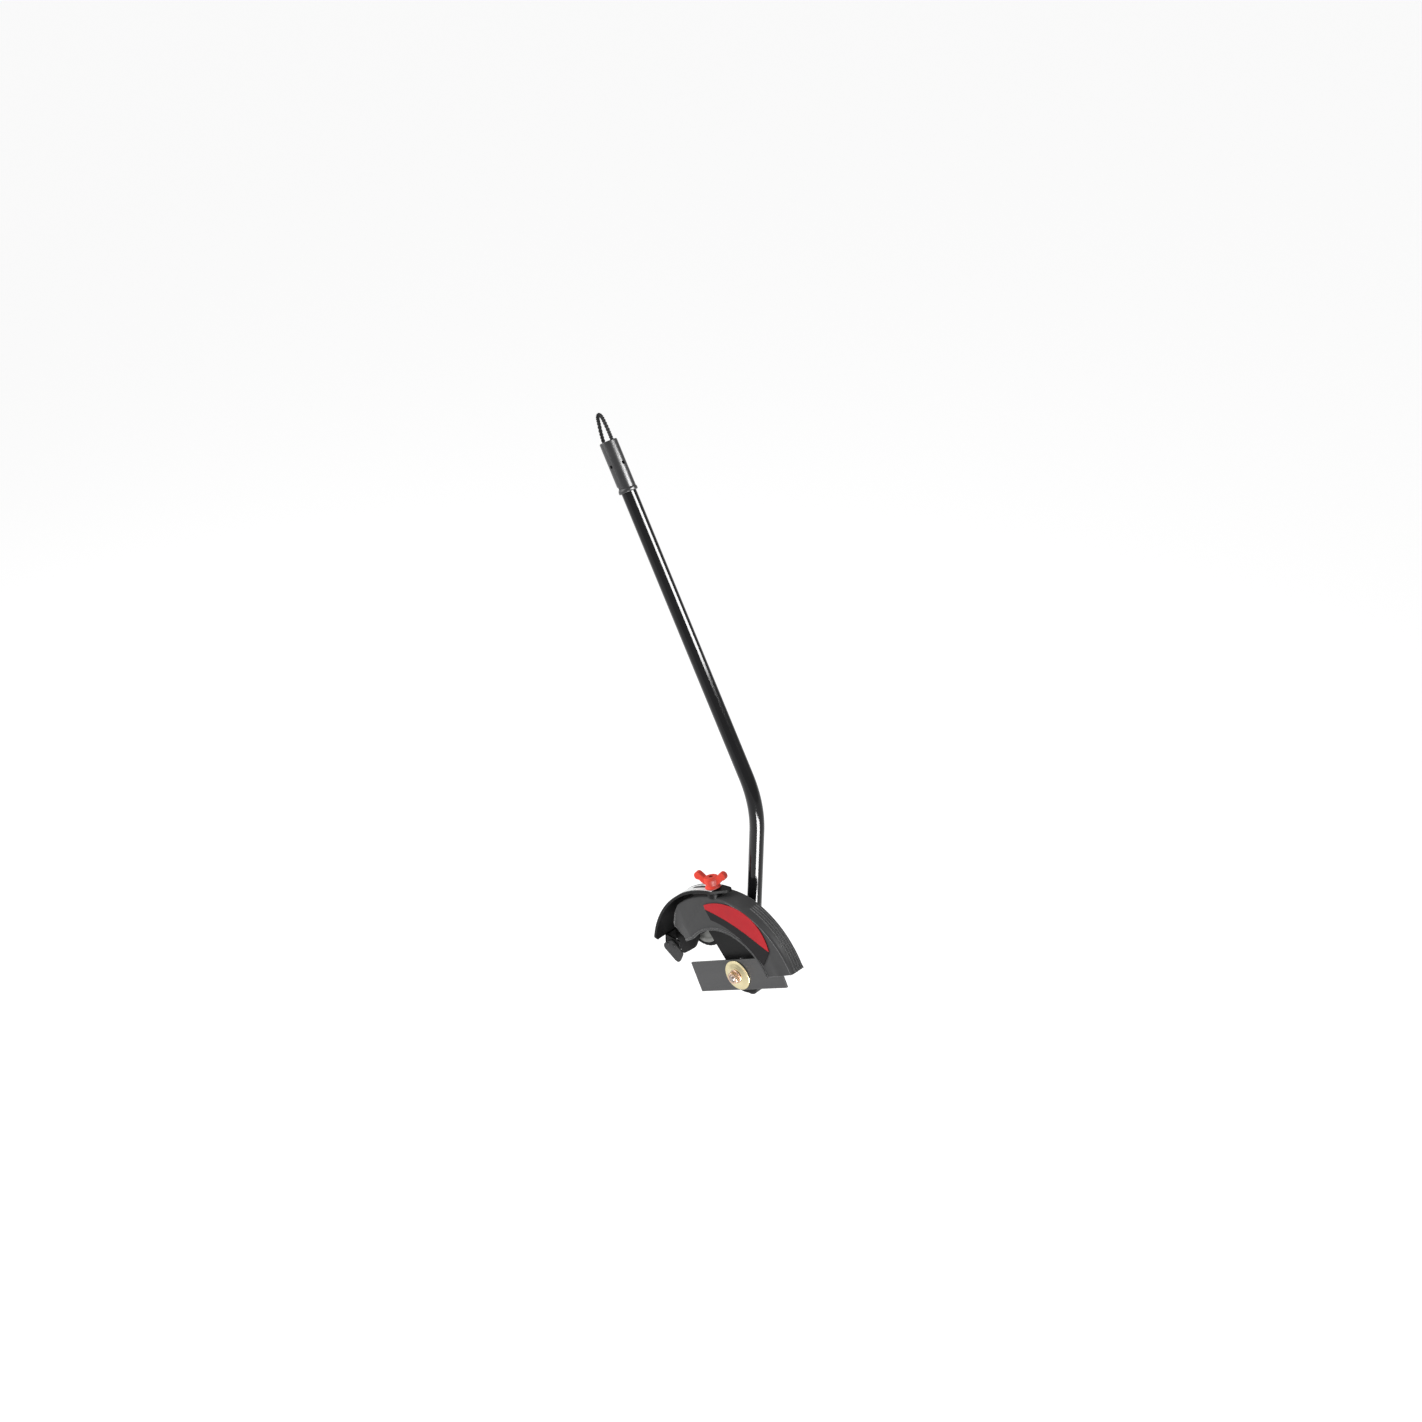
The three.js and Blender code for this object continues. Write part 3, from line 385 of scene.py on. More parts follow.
YELLOW_ZINC = surface(
    "yellow_zinc", (0.56, 0.49, 0.3), 0.2, metallic=1, mottle=0.14, mottle_scale=70, grain=0.1,
    grain_scale=700, roughness_spread=0.12)
# The guard's pale edge colour is a painted highlight along its edges, beads and ridges.
GUARD_PLASTIC = surface(
    "guard_plastic", (0.056, 0.056, 0.057), 0.52, specular=0.11, mottle=0.07, mottle_scale=30,
    grain=0.45, grain_scale=1500, grain_depth=0.0002, roughness_spread=0.1,
    edge=(0.3, 0.3, 0.302), edge_radius=0.0009)
BADGE_RED = surface(
    "badge_red", (0.42, 0.009, 0.016), 0.34, specular=0.14, mottle=0.12, mottle_scale=25, grain=0.06,
    grain_scale=900)
BADGE_BLACK = surface(
    "badge_black", (0.01, 0.009, 0.01), 0.36, specular=0.1, mottle=0.15, mottle_scale=30,
    grain=0.06, grain_scale=900)
BRACKET_PLASTIC = surface(
    "bracket_plastic", (0.011, 0.011, 0.0115), 0.42, specular=0.1, mottle=0.15, mottle_scale=40,
    grain=0.3, grain_scale=1400, edge=(0.045, 0.045, 0.046))
SCALE_SILVER = surface(
    "scale_silver", (0.74, 0.75, 0.75), 0.3, metallic=0.3, mottle=0.12, mottle_scale=90, grain=0.1)
RIM_PLASTIC = surface(
    "rim_plastic", (0.33, 0.335, 0.32), 0.42, specular=0.3, mottle=0.1, mottle_scale=60, grain=0.15)
TYRE = surface(
    "tyre", (0.016, 0.016, 0.017), 0.7, specular=0.16, mottle=0.2, mottle_scale=120, grain=0.5)
RED_PLASTIC = surface(
    "red_plastic", (0.72, 0.055, 0.032), 0.46, specular=0.16, mottle=0.08, mottle_scale=60, grain=0.25,
    grain_scale=1500, edge=(0.74, 0.12, 0.08))

SLOT_MATERIAL = {
    "black_paint": BLACK_PAINT, "liner_plastic": LINER, "steel": STEEL, "brass": BRASS,
    "cap_plastic": CAP_PLASTIC, "loop_cover": LOOP_COVER, "cast_black": CAST_BLACK,
    "rubber": RUBBER, "blade_steel": BLADE_STEEL, "yellow_zinc": YELLOW_ZINC,
    "guard_plastic": GUARD_PLASTIC, "badge": BADGE_RED, "bracket_plastic": BRACKET_PLASTIC,
    "scale_silver": SCALE_SILVER, "rim_plastic": RIM_PLASTIC, "tyre": TYRE,
    "red_plastic": RED_PLASTIC,
}

# ------------------------------------------------------------------ mesh helpers


def polar(radius, phi):
    return (radius * math.cos(phi), radius * math.sin(phi))


def lerp(a, b, t):
    return a + (b - a) * t


def smooth_step(low, high, value):
    t = min(1, max(0, (value - low) / (high - low)))
    return t * t * (3 - 2 * t)


def fillet(points, radius, steps=3, closed=False):
    """The line with its corners rounded, as far as the sides leave room."""
    rounded = []
    for i, corner in enumerate(points):
        if not closed and i in (0, len(points) - 1):
            rounded.append(tuple(corner))
            continue
        corner = Vector(corner)
        before = Vector(points[i - 1]) - corner
        after = Vector(points[(i + 1) % len(points)]) - corner
        start = corner + before.normalized() * min(radius, before.length * 0.45)
        end = corner + after.normalized() * min(radius, after.length * 0.45)
        for k in range(steps + 1):
            t = k / steps
            rounded.append(tuple(start * (1 - t) ** 2 + corner * 2 * t * (1 - t) + end * t * t))
    return rounded


def bezier(points, steps):
    """Points on a quadratic or cubic curve, both ends included."""
    order = len(points) - 1
    curve = []
    for k in range(steps + 1):
        t = k / steps
        weights = [math.comb(order, i) * t ** i * (1 - t) ** (order - i) for i in range(order + 1)]
        curve.append(tuple(sum(w * p[axis] for w, p in zip(weights, points)) for axis in (0, 1)))
    return curve


def loft(rings, around=True, along=False):
    """Faces between rings of equal length. The ends are closed unless the rings run in a circle."""
    count = len(rings[0])
    points = [point for ring in rings for point in ring]
    faces = []
    for r in range(len(rings) if along else len(rings) - 1):
        a, b = r * count, (r + 1) % len(rings) * count
        for i in range(count if around else count - 1):
            j = (i + 1) % count
            faces.append((a + i, a + j, b + j, b + i))
    if not along:
        last = (len(rings) - 1) * count
        faces.append(tuple(range(count))[::-1])
        faces.append(tuple(range(last, last + count)))
    return points, faces


def lathe(profile, axis="Y", sides=96, closed=False):
    """Pairs of radius and height turned about an axis.

    A closed profile makes a ring. Any other starts and ends on the axis.
    """
    rings = []
    for k in range(sides):
        c, s = math.cos(2 * math.pi * k / sides), math.sin(2 * math.pi * k / sides)
        if axis == "Y":
            rings.append([(r * c, h, r * s) for r, h in profile])
        else:
            rings.append([(r * c, r * s, h) for r, h in profile])
    return loft(rings, around=closed, along=True)


def slab(outline, front, back):
    """An outline in X and Z, given thickness along Y."""
    return loft([[(x, y, z) for x, z in outline] for y in (front, back)])


def smooth(obj, sharp=35):
    mesh = obj.data
    mesh.shade_smooth()
    mesh.set_sharp_from_angle(angle=sharp * DEG)
    mesh.update()


def make(name, shape, place=HEAD_MM, sharp=35, bevel=0.0):
    """A mesh object from points in millimetres at a place in the frame."""
    points, faces = shape
    mesh = bpy.data.meshes.new(name)
    mesh.from_pydata([place @ Vector(point) for point in points], [], faces)
    tidy = bmesh.new()
    tidy.from_mesh(mesh)
    bmesh.ops.remove_doubles(tidy, verts=tidy.verts, dist=2e-6)
    bmesh.ops.recalc_face_normals(tidy, faces=tidy.faces)
    tidy.to_mesh(mesh)
    tidy.free()
    obj = bpy.data.objects.new(name, mesh)
    bpy.context.scene.collection.objects.link(obj)
    smooth(obj, sharp)
    if bevel:
        add_bevel(obj, bevel, sharp=sharp)
    return obj


def peg(name, radius, bottom, top, place=HEAD_MM, axis="Y", sides=32):
    """A round cutter between two heights on an axis."""
    return make(name, lathe([(0, bottom), (radius, bottom), (radius, top), (0, top)], axis, sides), place)


def add_bevel(obj, width, segments=3, sharp=35):
    """Rounds the object's sharp edges by a width in millimetres."""
    bevel = obj.modifiers.new("bevel", "BEVEL")
    bevel.width = width / 1000
    bevel.segments = segments
    bevel.limit_method = "ANGLE"
    bevel.angle_limit = sharp * DEG
    bevel.harden_normals = True
    bevel.miter_outer = "MITER_ARC"


def settle(obj, sharp=35):
    """Applies the object's modifiers to its mesh."""
    graph = bpy.context.evaluated_depsgraph_get()
    mesh = bpy.data.meshes.new_from_object(obj.evaluated_get(graph))
    obj.modifiers.clear()
    obj.data = mesh
    smooth(obj, sharp)
    return obj


def combine(obj, others, operation, sharp=35):
    """Cuts the other objects out of this one, or joins them to it, and removes them."""
    for other in others:
        step = obj.modifiers.new("boolean", "BOOLEAN")
        step.operation = operation
        step.solver = "EXACT"
        step.object = other
    settle(obj, sharp)
    for other in others:
        bpy.data.objects.remove(other)
    return obj


def carve(obj, *tools, sharp=35):
    return combine(obj, tools, "DIFFERENCE", sharp)


def weld(obj, *parts, sharp=35):
    return combine(obj, parts, "UNION", sharp)


def soften(obj, voxel, rounds):
    """Turns the object into one even skin and rounds its corners, as moulded plastic has."""
    remesh = obj.modifiers.new("remesh", "REMESH")
    remesh.mode = "VOXEL"
    remesh.voxel_size = voxel / 1000
    relax = obj.modifiers.new("relax", "SMOOTH")
    relax.factor = 0.5
    relax.iterations = rounds
    return settle(obj, sharp=60)


def finish(obj, material, *nodes, body=None, slot=None):
    """Puts the piece on its body, with its material, in place of the CAD nodes it stands for."""
    obj.data.materials.clear()
    obj.data.materials.append(material)
    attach(obj, body or BODY_OF[nodes[0]])
    if nodes:
        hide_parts(*nodes)
    return obj


def polish(node, width):
    """A copy of a CAD node with its flat faces merged and its sharp edges broken."""
    work = bmesh.new()
    work.from_mesh(NODES[node].data)
    bmesh.ops.remove_doubles(work, verts=work.verts, dist=1e-6)
    bmesh.ops.dissolve_limit(work, angle_limit=0.6 * DEG, verts=work.verts, edges=work.edges)
    mesh = bpy.data.meshes.new(node + "_piece")
    work.to_mesh(mesh)
    work.free()
    obj = bpy.data.objects.new(node + "_piece", mesh)
    bpy.context.scene.collection.objects.link(obj)
    smooth(obj, sharp=38)
    add_bevel(obj, width, segments=2, sharp=38)
    return finish(obj, SLOT_MATERIAL[SLOT_OF[node]], node)


# ------------------------------------------------------------------ shaft, cap and loop


def shaft_line(bottom, top, bend_steps):
    """Centre points in X and Z with the turn at each, from the foot of the tube to its top."""
    tangent = BEND_R * math.tan(BEND_ANGLE / 2)
    start = BEND_CORNER_Z - tangent
    line = [(0, bottom, 0.0)]
    for k in range(bend_steps + 1):
        turn = BEND_ANGLE * k / bend_steps
        line.append((-BEND_R * (1 - math.cos(turn)), start + BEND_R * math.sin(turn), turn))
    end_x, end_z, turn = line[-1]
    run = top - tangent
    line.append((end_x - run * math.sin(turn), end_z + run * math.cos(turn), turn))
    return line


def tube_rings(line, radius, sides):
    rings = []
    for x, z, turn in line:
        ring = []
        for k in range(sides):
            c, s = math.cos(2 * math.pi * k / sides), math.sin(2 * math.pi * k / sides)
            ring.append((x + radius * c * math.cos(turn), radius * s, z + radius * c * math.sin(turn)))
        rings.append(ring)
    return rings


def build_tube():
    line = shaft_line(TUBE_BOTTOM, TUBE_TOP, 40)
    rings = tube_rings(line, TUBE_R, 72) + tube_rings(line[::-1], TUBE_BORE_R, 72)
    finish(make("drive_tube_piece", loft(rings, along=True)), BLACK_PAINT, "drive_tube")


def build_cap():
    roof = CAP_TOP - CAP_ROOF
    profile = [
        (0, roof), (TUBE_R + 0.3, roof), (TUBE_R + 0.3, CAP_BOTTOM), (CAP_R + 1, CAP_BOTTOM),
        (CAP_R + 1, CAP_BOTTOM + 4.4), (CAP_R, CAP_BOTTOM + 5.4), (CAP_R, CAP_TOP), (0, CAP_TOP),
    ]
    cap = make("hanger_cap_piece", lathe(fillet(profile, 1.3, 4), "Z", 96), SHAFT_MM, sharp=50)
    tools = []
    for turn in (0, 90, 180, 270):
        drill = round_shaft(CAP_BOTTOM + CAP_HOLE_HEIGHT, turn * DEG) @ Matrix.Rotation(90 * DEG, 4, "Y")
        tools.append(peg("drill", CAP_HOLE_R, 6, 20, drill, "Z"))
    notch = round_shaft(CAP_BOTTOM + CAP_NOTCH_HEIGHT, CAP_NOTCH_TURN)
    wedge = fillet([(-18, -5), (-8.5, 0), (-18, 5)], 0.8, 3, closed=True)
    tools.append(make("notch", slab(wedge, -CAP_NOTCH_HALF, CAP_NOTCH_HALF), notch))
    for x in (-LOOP_LEG_X, LOOP_LEG_X):
        hole = SHAFT_MM @ Matrix.Translation((x, 0, CAP_TOP - 9))
        tools.append(peg("leg_hole", LOOP_HOLE_R, 0, 12, hole, "Z"))
    carve(cap, *tools, sharp=40)
    finish(cap, CAP_PLASTIC, "hanger_cap")


LOOP_ROUTE = [
    (-LOOP_LEG_X, -8.5), (-LOOP_LEG_X, 2), (-7.3, 14), (-3.6, 28), (-1.2, 36), (3.2, 39), (7.2, 35),
    (8.6, 25), (LOOP_LEG_X, 12), (LOOP_LEG_X, 2), (LOOP_LEG_X, -8.5),
]
STRAND_R = 2.1
STRAND_OFFSET = 0.8
STRAND_TURNS = 14


def spline(points, steps):
    """Catmull-Rom points through a line of X and Z points."""
    ends = [points[0]] + points + [points[-1]]
    curve = []
    for i in range(1, len(ends) - 2):
        p0, p1, p2, p3 = (Vector(ends[i + k]) for k in (-1, 0, 1, 2))
        for k in range(steps):
            t = k / steps
            curve.append(0.5 * (2 * p1 + (p2 - p0) * t + (2 * p0 - 5 * p1 + 4 * p2 - p3) * t ** 2
                                + (3 * p1 - 3 * p2 + p3 - p0) * t ** 3))
    return curve + [Vector(points[-1])]


def build_loop():
    """Two covered strands twisted into one: a two-lobed section that turns along the loop."""
    route = spline([(x, CAP_TOP + z) for x, z in LOOP_ROUTE], 24)
    sides = 32
    rings = []
    for i, point in enumerate(route):
        ahead = (route[min(i + 1, len(route) - 1)] - route[max(i - 1, 0)]).normalized()
        side = Vector((ahead.y, 0, -ahead.x))
        out = Vector((0, 1, 0))
        twist = 2 * math.pi * STRAND_TURNS * i / (len(route) - 1)
        ring = []
        for k in range(sides):
            a = 2 * math.pi * k / sides
            across = STRAND_OFFSET * math.cos(a - twist)
            aside = STRAND_OFFSET * math.sin(a - twist)
            reach = abs(across) + math.sqrt(STRAND_R ** 2 - aside ** 2)
            ring.append(Vector((point.x, 0, point.y)) + (side * math.cos(a) + out * math.sin(a)) * reach)
        rings.append(ring)
    finish(make("hanger_loop_piece", loft(rings), SHAFT_MM, sharp=60), LOOP_COVER, "hanger_loop")


# ------------------------------------------------------------------ blade stack


def build_blade():
    half_length, half_width = BLADE_LENGTH / 2, BLADE_WIDTH / 2
    outline = [(-half_length, -half_width), (half_length, -half_width), (half_length, half_width),
               (-half_length, half_width)]
    place = HEAD_MM @ Matrix.Rotation(-BLADE_ANGLE, 4, "Y")
    shape = slab(fillet(outline, 1.2, 3, closed=True), BLADE_FRONT, BLADE_BACK)
    blade = make("edger_blade_piece", shape, place)
    carve(blade, peg("bore", 10, -36, -28, place, sides=64))
    add_bevel(blade, 0.45, 3)
    finish(blade, BLADE_STEEL, "edger_blade")


def build_cup_and_nut():
    back = CUP_BACK
    cup = [(5.2, back - 3), (12, back - 3), (19, back), (CUP_R, back), (CUP_R, back - 1.5),
           (19.6, back - 1.5), (12.6, back - 4.5), (5.2, back - 4.5)]
    finish(make("cup_washer_piece", lathe(fillet(cup, 0.9, 4, closed=True), sides=128, closed=True),
                sharp=50), YELLOW_ZINC, "cup_washer")

    corner = NUT_ACROSS_FLATS / 2 / math.cos(math.pi / 6)
    front = NUT_BACK - 8.5
    hexagon = [polar(corner, k * math.pi / 3) for k in range(6)]
    nut = make("blade_nut_piece", slab(hexagon, front, NUT_BACK - 0.6))
    cone = make("cone", lathe([(0, front - 1), (corner - 2.4, front - 1), (corner + 1.4, front + 2.6),
                               (corner + 1.4, NUT_BACK + 1), (0, NUT_BACK + 1)], sides=96))
    combine(nut, [cone], "INTERSECT")
    flange = make("flange", lathe(fillet([(0, NUT_BACK - 1.8), (9.5, NUT_BACK - 1.8), (11, NUT_BACK - 1),
                                          (11, NUT_BACK), (0, NUT_BACK)], 0.5, 3), sides=96))
    weld(nut, flange)
    bore = make("bore", lathe([(0, front - 1), (6.2, front - 1), (5.2, front + 1), (5.2, NUT_BACK + 1),
                               (0, NUT_BACK + 1)], sides=64))
    carve(nut, bore)
    add_bevel(nut, 0.2, 2)
    finish(nut, BRASS, "blade_nut")


def build_spindle():
    """A turned spindle whose front end carries a real helical thread."""
    levels = []
    height = SPINDLE_FRONT
    while height < THREAD_END:
        levels.append(height)
        height += THREAD_PITCH / 8
    sides = 48
    rings = []
    for h in levels:
        tip = min(1, (h - SPINDLE_FRONT) / 1.2)
        ring = []
        for k in range(sides):
            phase = (h / THREAD_PITCH + k / sides) % 1
            depth = THREAD_DEPTH * abs(2 * phase - 1)
            radius = (THREAD_R - depth) * lerp(0.82, 1, tip)
            ring.append((*polar(radius, 2 * math.pi * k / sides), h))
        rings.append(ring)
    for radius, h in ((SPINDLE_R - 0.4, -34.2), (SPINDLE_R, -33.8), (SPINDLE_R, SPINDLE_BACK)):
        rings.append([(*polar(radius, 2 * math.pi * k / sides), h) for k in range(sides)])
    points, faces = loft(rings)
    turned = [(x, h, z) for x, z, h in points]
    finish(make("blade_spindle_piece", (turned, faces), sharp=60), SPINDLE_STEEL, "blade_spindle")


# ------------------------------------------------------------------ guard and badge

RIDGES_FROM_EDGE = [17.5, 13, 8.5, 4]
RIDGE_PROFILE = [(-0.9, 0), (-0.35, 1), (0.35, 1), (0.9, 0)]
LIP_WIDTH = 3.5
FACE_STEPS = 10
GUARD_STATIONS = 150


def guard_lines():
    """Where the face starts on the arch and ends at the wall, from the right end to the left."""
    inner, outer = [], []
    for k in range(GUARD_STATIONS + 1):
        t = k / GUARD_STATIONS
        inner.append(polar(ARCH_R, lerp(GUARD_RIGHT, ARCH_END, t)))
        outer.append(polar(GUARD_R, lerp(GUARD_RIGHT, GUARD_LEFT, t)))
    end = fillet([outer[-1], *GUARD_END], 5, 6)[1:]
    for k, point in enumerate(end):
        t = (k + 1) / len(end)
        inner.append((lerp(inner[GUARD_STATIONS][0], GUARD_CORNER[0], t),
                      lerp(inner[GUARD_STATIONS][1], GUARD_CORNER[1], t)))
        outer.append(point)
    return inner, outer


def face_height(x, z):
    """Y of the guard's face.

    The field that holds the badge is sunk a little, the left end beyond it turns back, and a crease
    stands up at the right foot.
    """
    y = GUARD_FRONT + FACE_SUNK * smooth_step(0, 3, 60 + x - 0.5 * (z - 118))
    behind_crease = -0.788 * (x + 100.5) - 0.615 * (z - 69.2)
    if x < -70:
        y += min(7, 0.3 * max(0, behind_crease))
    if x > 60:
        down = max(0, 0.634 * (x - 73.8) - 0.773 * (z - 84.9))
        aside = abs(0.773 * (x - 73.8) + 0.634 * (z - 84.9))
        y -= max(0, min(2, 0.09 * down) - 0.16 * aside)
    return y


def guard_section(inner, outer):
    """The guard's closed cross-section at one station, as points from the arch round to the arch."""
    start, stop = Vector(inner), Vector(outer)
    across = (stop - start).normalized()
    length = (stop - start).length
    phi = math.atan2(stop.y, stop.x) / DEG

    def at(distance, y):
        point = start + across * distance
        return (point.x, y, point.y)

    def face(distance):
        point = start + across * distance
        return face_height(point.x, point.y)

    edge = GUARD_EDGE - max(0, stop.x) * math.tan(GUARD_EDGE_SLOPE)
    lip = face(LIP_WIDTH)
    section = [at(0, lip + GUARD_WALL), at(0, lip - 1.3), at(0.3, lip - 1.8), at(0.8, lip - 2),
               at(2.6, lip - 2), at(3.1, lip - 1.8), at(LIP_WIDTH, lip - 1.2), at(3.9, lip)]
    steps = [lerp(4.5, length - 3.2, k / FACE_STEPS) for k in range(1, FACE_STEPS)]
    section += [at(distance, face(distance)) for distance in steps]
    rim = face(length)
    bead = 0.9 * (smooth_step(100, 84, phi) + smooth_step(145, 149, phi))
    for back, inset in ((0, 3.6), (-bead, 2.9), (-bead, 2.1), (0.4, 1.2), (1.0, 0.6), (2.2, 0)):
        section.append(at(length - inset, rim + back))
    ridge_height = 1.3 * smooth_step(84, 72, phi)
    depth = edge - rim
    for ridge in RIDGES_FROM_EDGE:
        for offset, height in RIDGE_PROFILE:
            y = edge - ridge + offset
            spread = (GUARD_R_EDGE - GUARD_R) * (y - rim) / depth
            section.append(at(length + spread + height * ridge_height, y))
    flare = 1.2 * smooth_step(34, 31, phi)
    section.append(at(length + 0.9, edge - 1.2))
    section.append(at(length + 1 + flare, edge))
    section.append(at(length + 1 - GUARD_WALL, edge))
    section.append(at(length - GUARD_WALL, rim + GUARD_WALL))
    section += [at(distance, face(distance) + GUARD_WALL) for distance in reversed(steps)]
    return section


def build_guard():
    """The guard's shell, the carrier plate behind it, and the pillar under the knob."""
    inner, outer = guard_lines()
    sections = [guard_section(a, b) for a, b in zip(inner, outer)]
    finish(make("guard_shell_piece", loft(sections), sharp=32), GUARD_PLASTIC, "guard_shell")

    fan = [polar(CARRIER_R, lerp(80, 143.5, k / 60) * DEG) for k in range(61)]
    fan += [polar(CARRIER_NECK_R, lerp(170, 385, k / 60) * DEG) for k in range(61)]
    carrier = make("guard_carrier", slab(fan, CARRIER_FRONT, CARRIER_BACK))
    holes = [peg("hole", CARRIER_HOLE_R, -30, -10, sides=64)]
    for degrees in SCREW_ANGLES:
        x, z = polar(SCREW_CIRCLE_R, degrees * DEG)
        holes.append(peg("hole", SCREW_HOLE_R, -30, -10, HEAD_MM @ Matrix.Translation((x, 0, z))))
    carve(carrier, *holes)
    add_bevel(carrier, 0.6, 3)
    # The carrier belongs to the guard; the black bracket plastic on it is painted shade for the dark back wall
    # inside the guard.
    finish(carrier, BRACKET_PLASTIC, body="frame", slot="guard_plastic")

    # The pillar belongs to the guard; the black bracket plastic on it is painted shade under the knob and band.
    boss = [(3.3, GUARD_R - 2), (11, GUARD_R - 2), (11, 146.1), (3.3, 146.1)]
    finish(make("guard_boss", lathe(fillet(boss, 0.8, 3, closed=True), "Z", 64, closed=True), BOLT_MM),
           BRACKET_PLASTIC, body="frame", slot="guard_plastic")


def build_badge():
    """A red crescent over a black field, with a thin gap between them and no marking."""
    top = bezier([(-53, 113), (-22, 140), (52, 154), (75, 91)], 48)
    chord = bezier([(75, 91), (45, 96), (15, 110), (-50, 107)], 40)
    foot = bezier([(66, 62), (14, 100.5), (-38, 93)], 40)
    red = slab(top + chord[1:], BADGE_FRONT, BADGE_BACK)
    lowered = [(x, z - BADGE_GAP) for x, z in reversed(chord)]
    black = slab(lowered + foot, BADGE_FRONT + 0.1, BADGE_BACK)
    finish(make("badge_red_field", red, bevel=0.25), BADGE_RED, "badge_plate")
    finish(make("badge_black_field", black, bevel=0.25), BADGE_BLACK, body="frame", slot="badge")


# ------------------------------------------------------------------ depth bracket


def sector(inner, outer, start, stop, steps):
    """The outline of a ring's part between two angles."""
    angles = [lerp(start, stop, k / steps) for k in range(steps + 1)]
    return [polar(outer, phi) for phi in angles] + [polar(inner, phi) for phi in reversed(angles)]


def band_sides(phi):
    """Y of the band's front and back sides: a narrow rounded upper end and a blunted foot."""
    from_top = BAND_R * (phi - BAND_TOP)
    from_foot = BAND_R * (BAND_END - phi)
    front = BAND_FRONT + max(0, 19.2 - 0.875 * from_top) + 2.5 * max(0, 1 - from_top / 4) ** 2
    front += 6 * max(0, 1 - from_foot / 8) ** 2
    back = lerp(BAND_BACK, WEB_BACK, smooth_step(BAND_WIDE_FROM, BAND_WIDE_FROM + 4 * DEG, phi))
    back -= 3.5 * max(0, 1 - from_top / 6) ** 2
    return front, back


def build_bracket():
    """The curved band with its beaded edges and slot, the side web, and the lug for the flap."""
    inner = BAND_R - BAND_THICK
    beaded = inner - BAND_BEAD
    rings = []
    for k in range(241):
        t = k / 240
        phi = lerp(BAND_TOP, BAND_END, 0.5 - 0.5 * math.cos(math.pi * t))
        front, back = band_sides(phi)
        section = [
            (front, BAND_R), (back, BAND_R), (back, beaded), (back - 1.8, beaded),
            (back - 2.8, inner), (front + 2.8, inner), (front + 1.8, beaded), (front, beaded),
        ]
        rings.append([(r * math.cos(phi), y, r * math.sin(phi)) for y, r in section])
    band = make("depth_bracket_band", loft(rings), sharp=30)
    slot_end = BOLT_ANGLE + SLOT_TRAVEL
    below, above = BAND_R - 6, BAND_R + 4
    slot = sector(below, above, BOLT_ANGLE, slot_end, 24)
    tools = [make("slot", slab(slot, BOLT_Y - SLOT_HALF, BOLT_Y + SLOT_HALF))]
    for phi in (BOLT_ANGLE, slot_end):
        tools.append(peg("slot_end", SLOT_HALF, below, above, spoke(phi), "Z", 48))
    carve(band, *tools, sharp=30)
    add_bevel(band, 0.4, 3, 30)
    finish(band, BRACKET_PLASTIC, "depth_bracket")

    web = [polar(inner + 1, lerp(140, 178.5, k / 60) * DEG) for k in range(61)]
    web += fillet([web[-1], (-140, -22), (-128.6, -35.4), (-114, -21.5), (-103.7, -10.7), (-98.5, 4.5),
                   (-97, 19)], 5, 5)[1:]
    for degrees in range(-75, 21, 5):
        x, z = polar(AXLE_EYE_R, degrees * DEG)
        web.append((AXLE[0] + x, AXLE[1] + z))
    web.append((-94, 62))
    for name, outline, front, back in (
        ("web", web, WEB_FRONT, WEB_BACK),
        ("lug", sector(118, inner + 1, LUG_FROM, LUG_TO, 10), LUG_FRONT, LUG_BACK),
        ("strut", sector(inner - 2, inner + 1, LUG_FROM, LUG_TO, 10), LUG_FRONT, WEB_BACK),
    ):
        finish(make("depth_bracket_" + name, slab(outline, front, back), bevel=0.5), BRACKET_PLASTIC,
               body="depth_arm", slot="bracket_plastic")


MARKS = 10
MARKS_FROM = 117
MARKS_TO = 129
MARKS_FOOT = BAND_BACK - 4


def build_scale_marks():
    """A plain printed rule on the scale plate: short strokes with a longer one at each end."""
    face = SCALE_R + SCALE_THICK
    bottom, top = face - 0.1, face + 0.06

    def print_mark(name, start, stop, steps, front, back):
        mark = make(name, slab(sector(bottom, top, start, stop, steps), front, back))
        finish(mark, BADGE_BLACK, body="depth_arm", slot="scale_silver")

    for k in range(MARKS):
        phi = lerp(MARKS_FROM, MARKS_TO, k / (MARKS - 1)) * DEG
        reach = 9 if k in (0, MARKS - 1) else 5
        print_mark("scale_mark", phi - 0.16 * DEG, phi + 0.16 * DEG, 2, MARKS_FOOT - reach, MARKS_FOOT)
    print_mark("scale_line", MARKS_FROM * DEG, MARKS_TO * DEG, 24, MARKS_FOOT, MARKS_FOOT + 0.6)


FLAP_OUTLINE = [
    (-132.1, 2.4), (-145, -8.5), (-148.6, -13), (-147.5, -19.5), (-122, -33), (-116.5, -33),
    (-113, -28), (-108.4, -15), (-109.5, -10.5),
]


def build_flap():
    shape = slab(fillet(FLAP_OUTLINE, 4, 5, closed=True), FLAP_FRONT, FLAP_BACK)
    finish(make("debris_flap_piece", shape, bevel=0.7), RUBBER, "debris_flap")


# ------------------------------------------------------------------ wheel and knob

TREAD_BLOCKS = 30
STEPS_PER_BLOCK = 6
GROOVE_STEPS = (0, 1)
GROOVE_DEPTH = 1.0


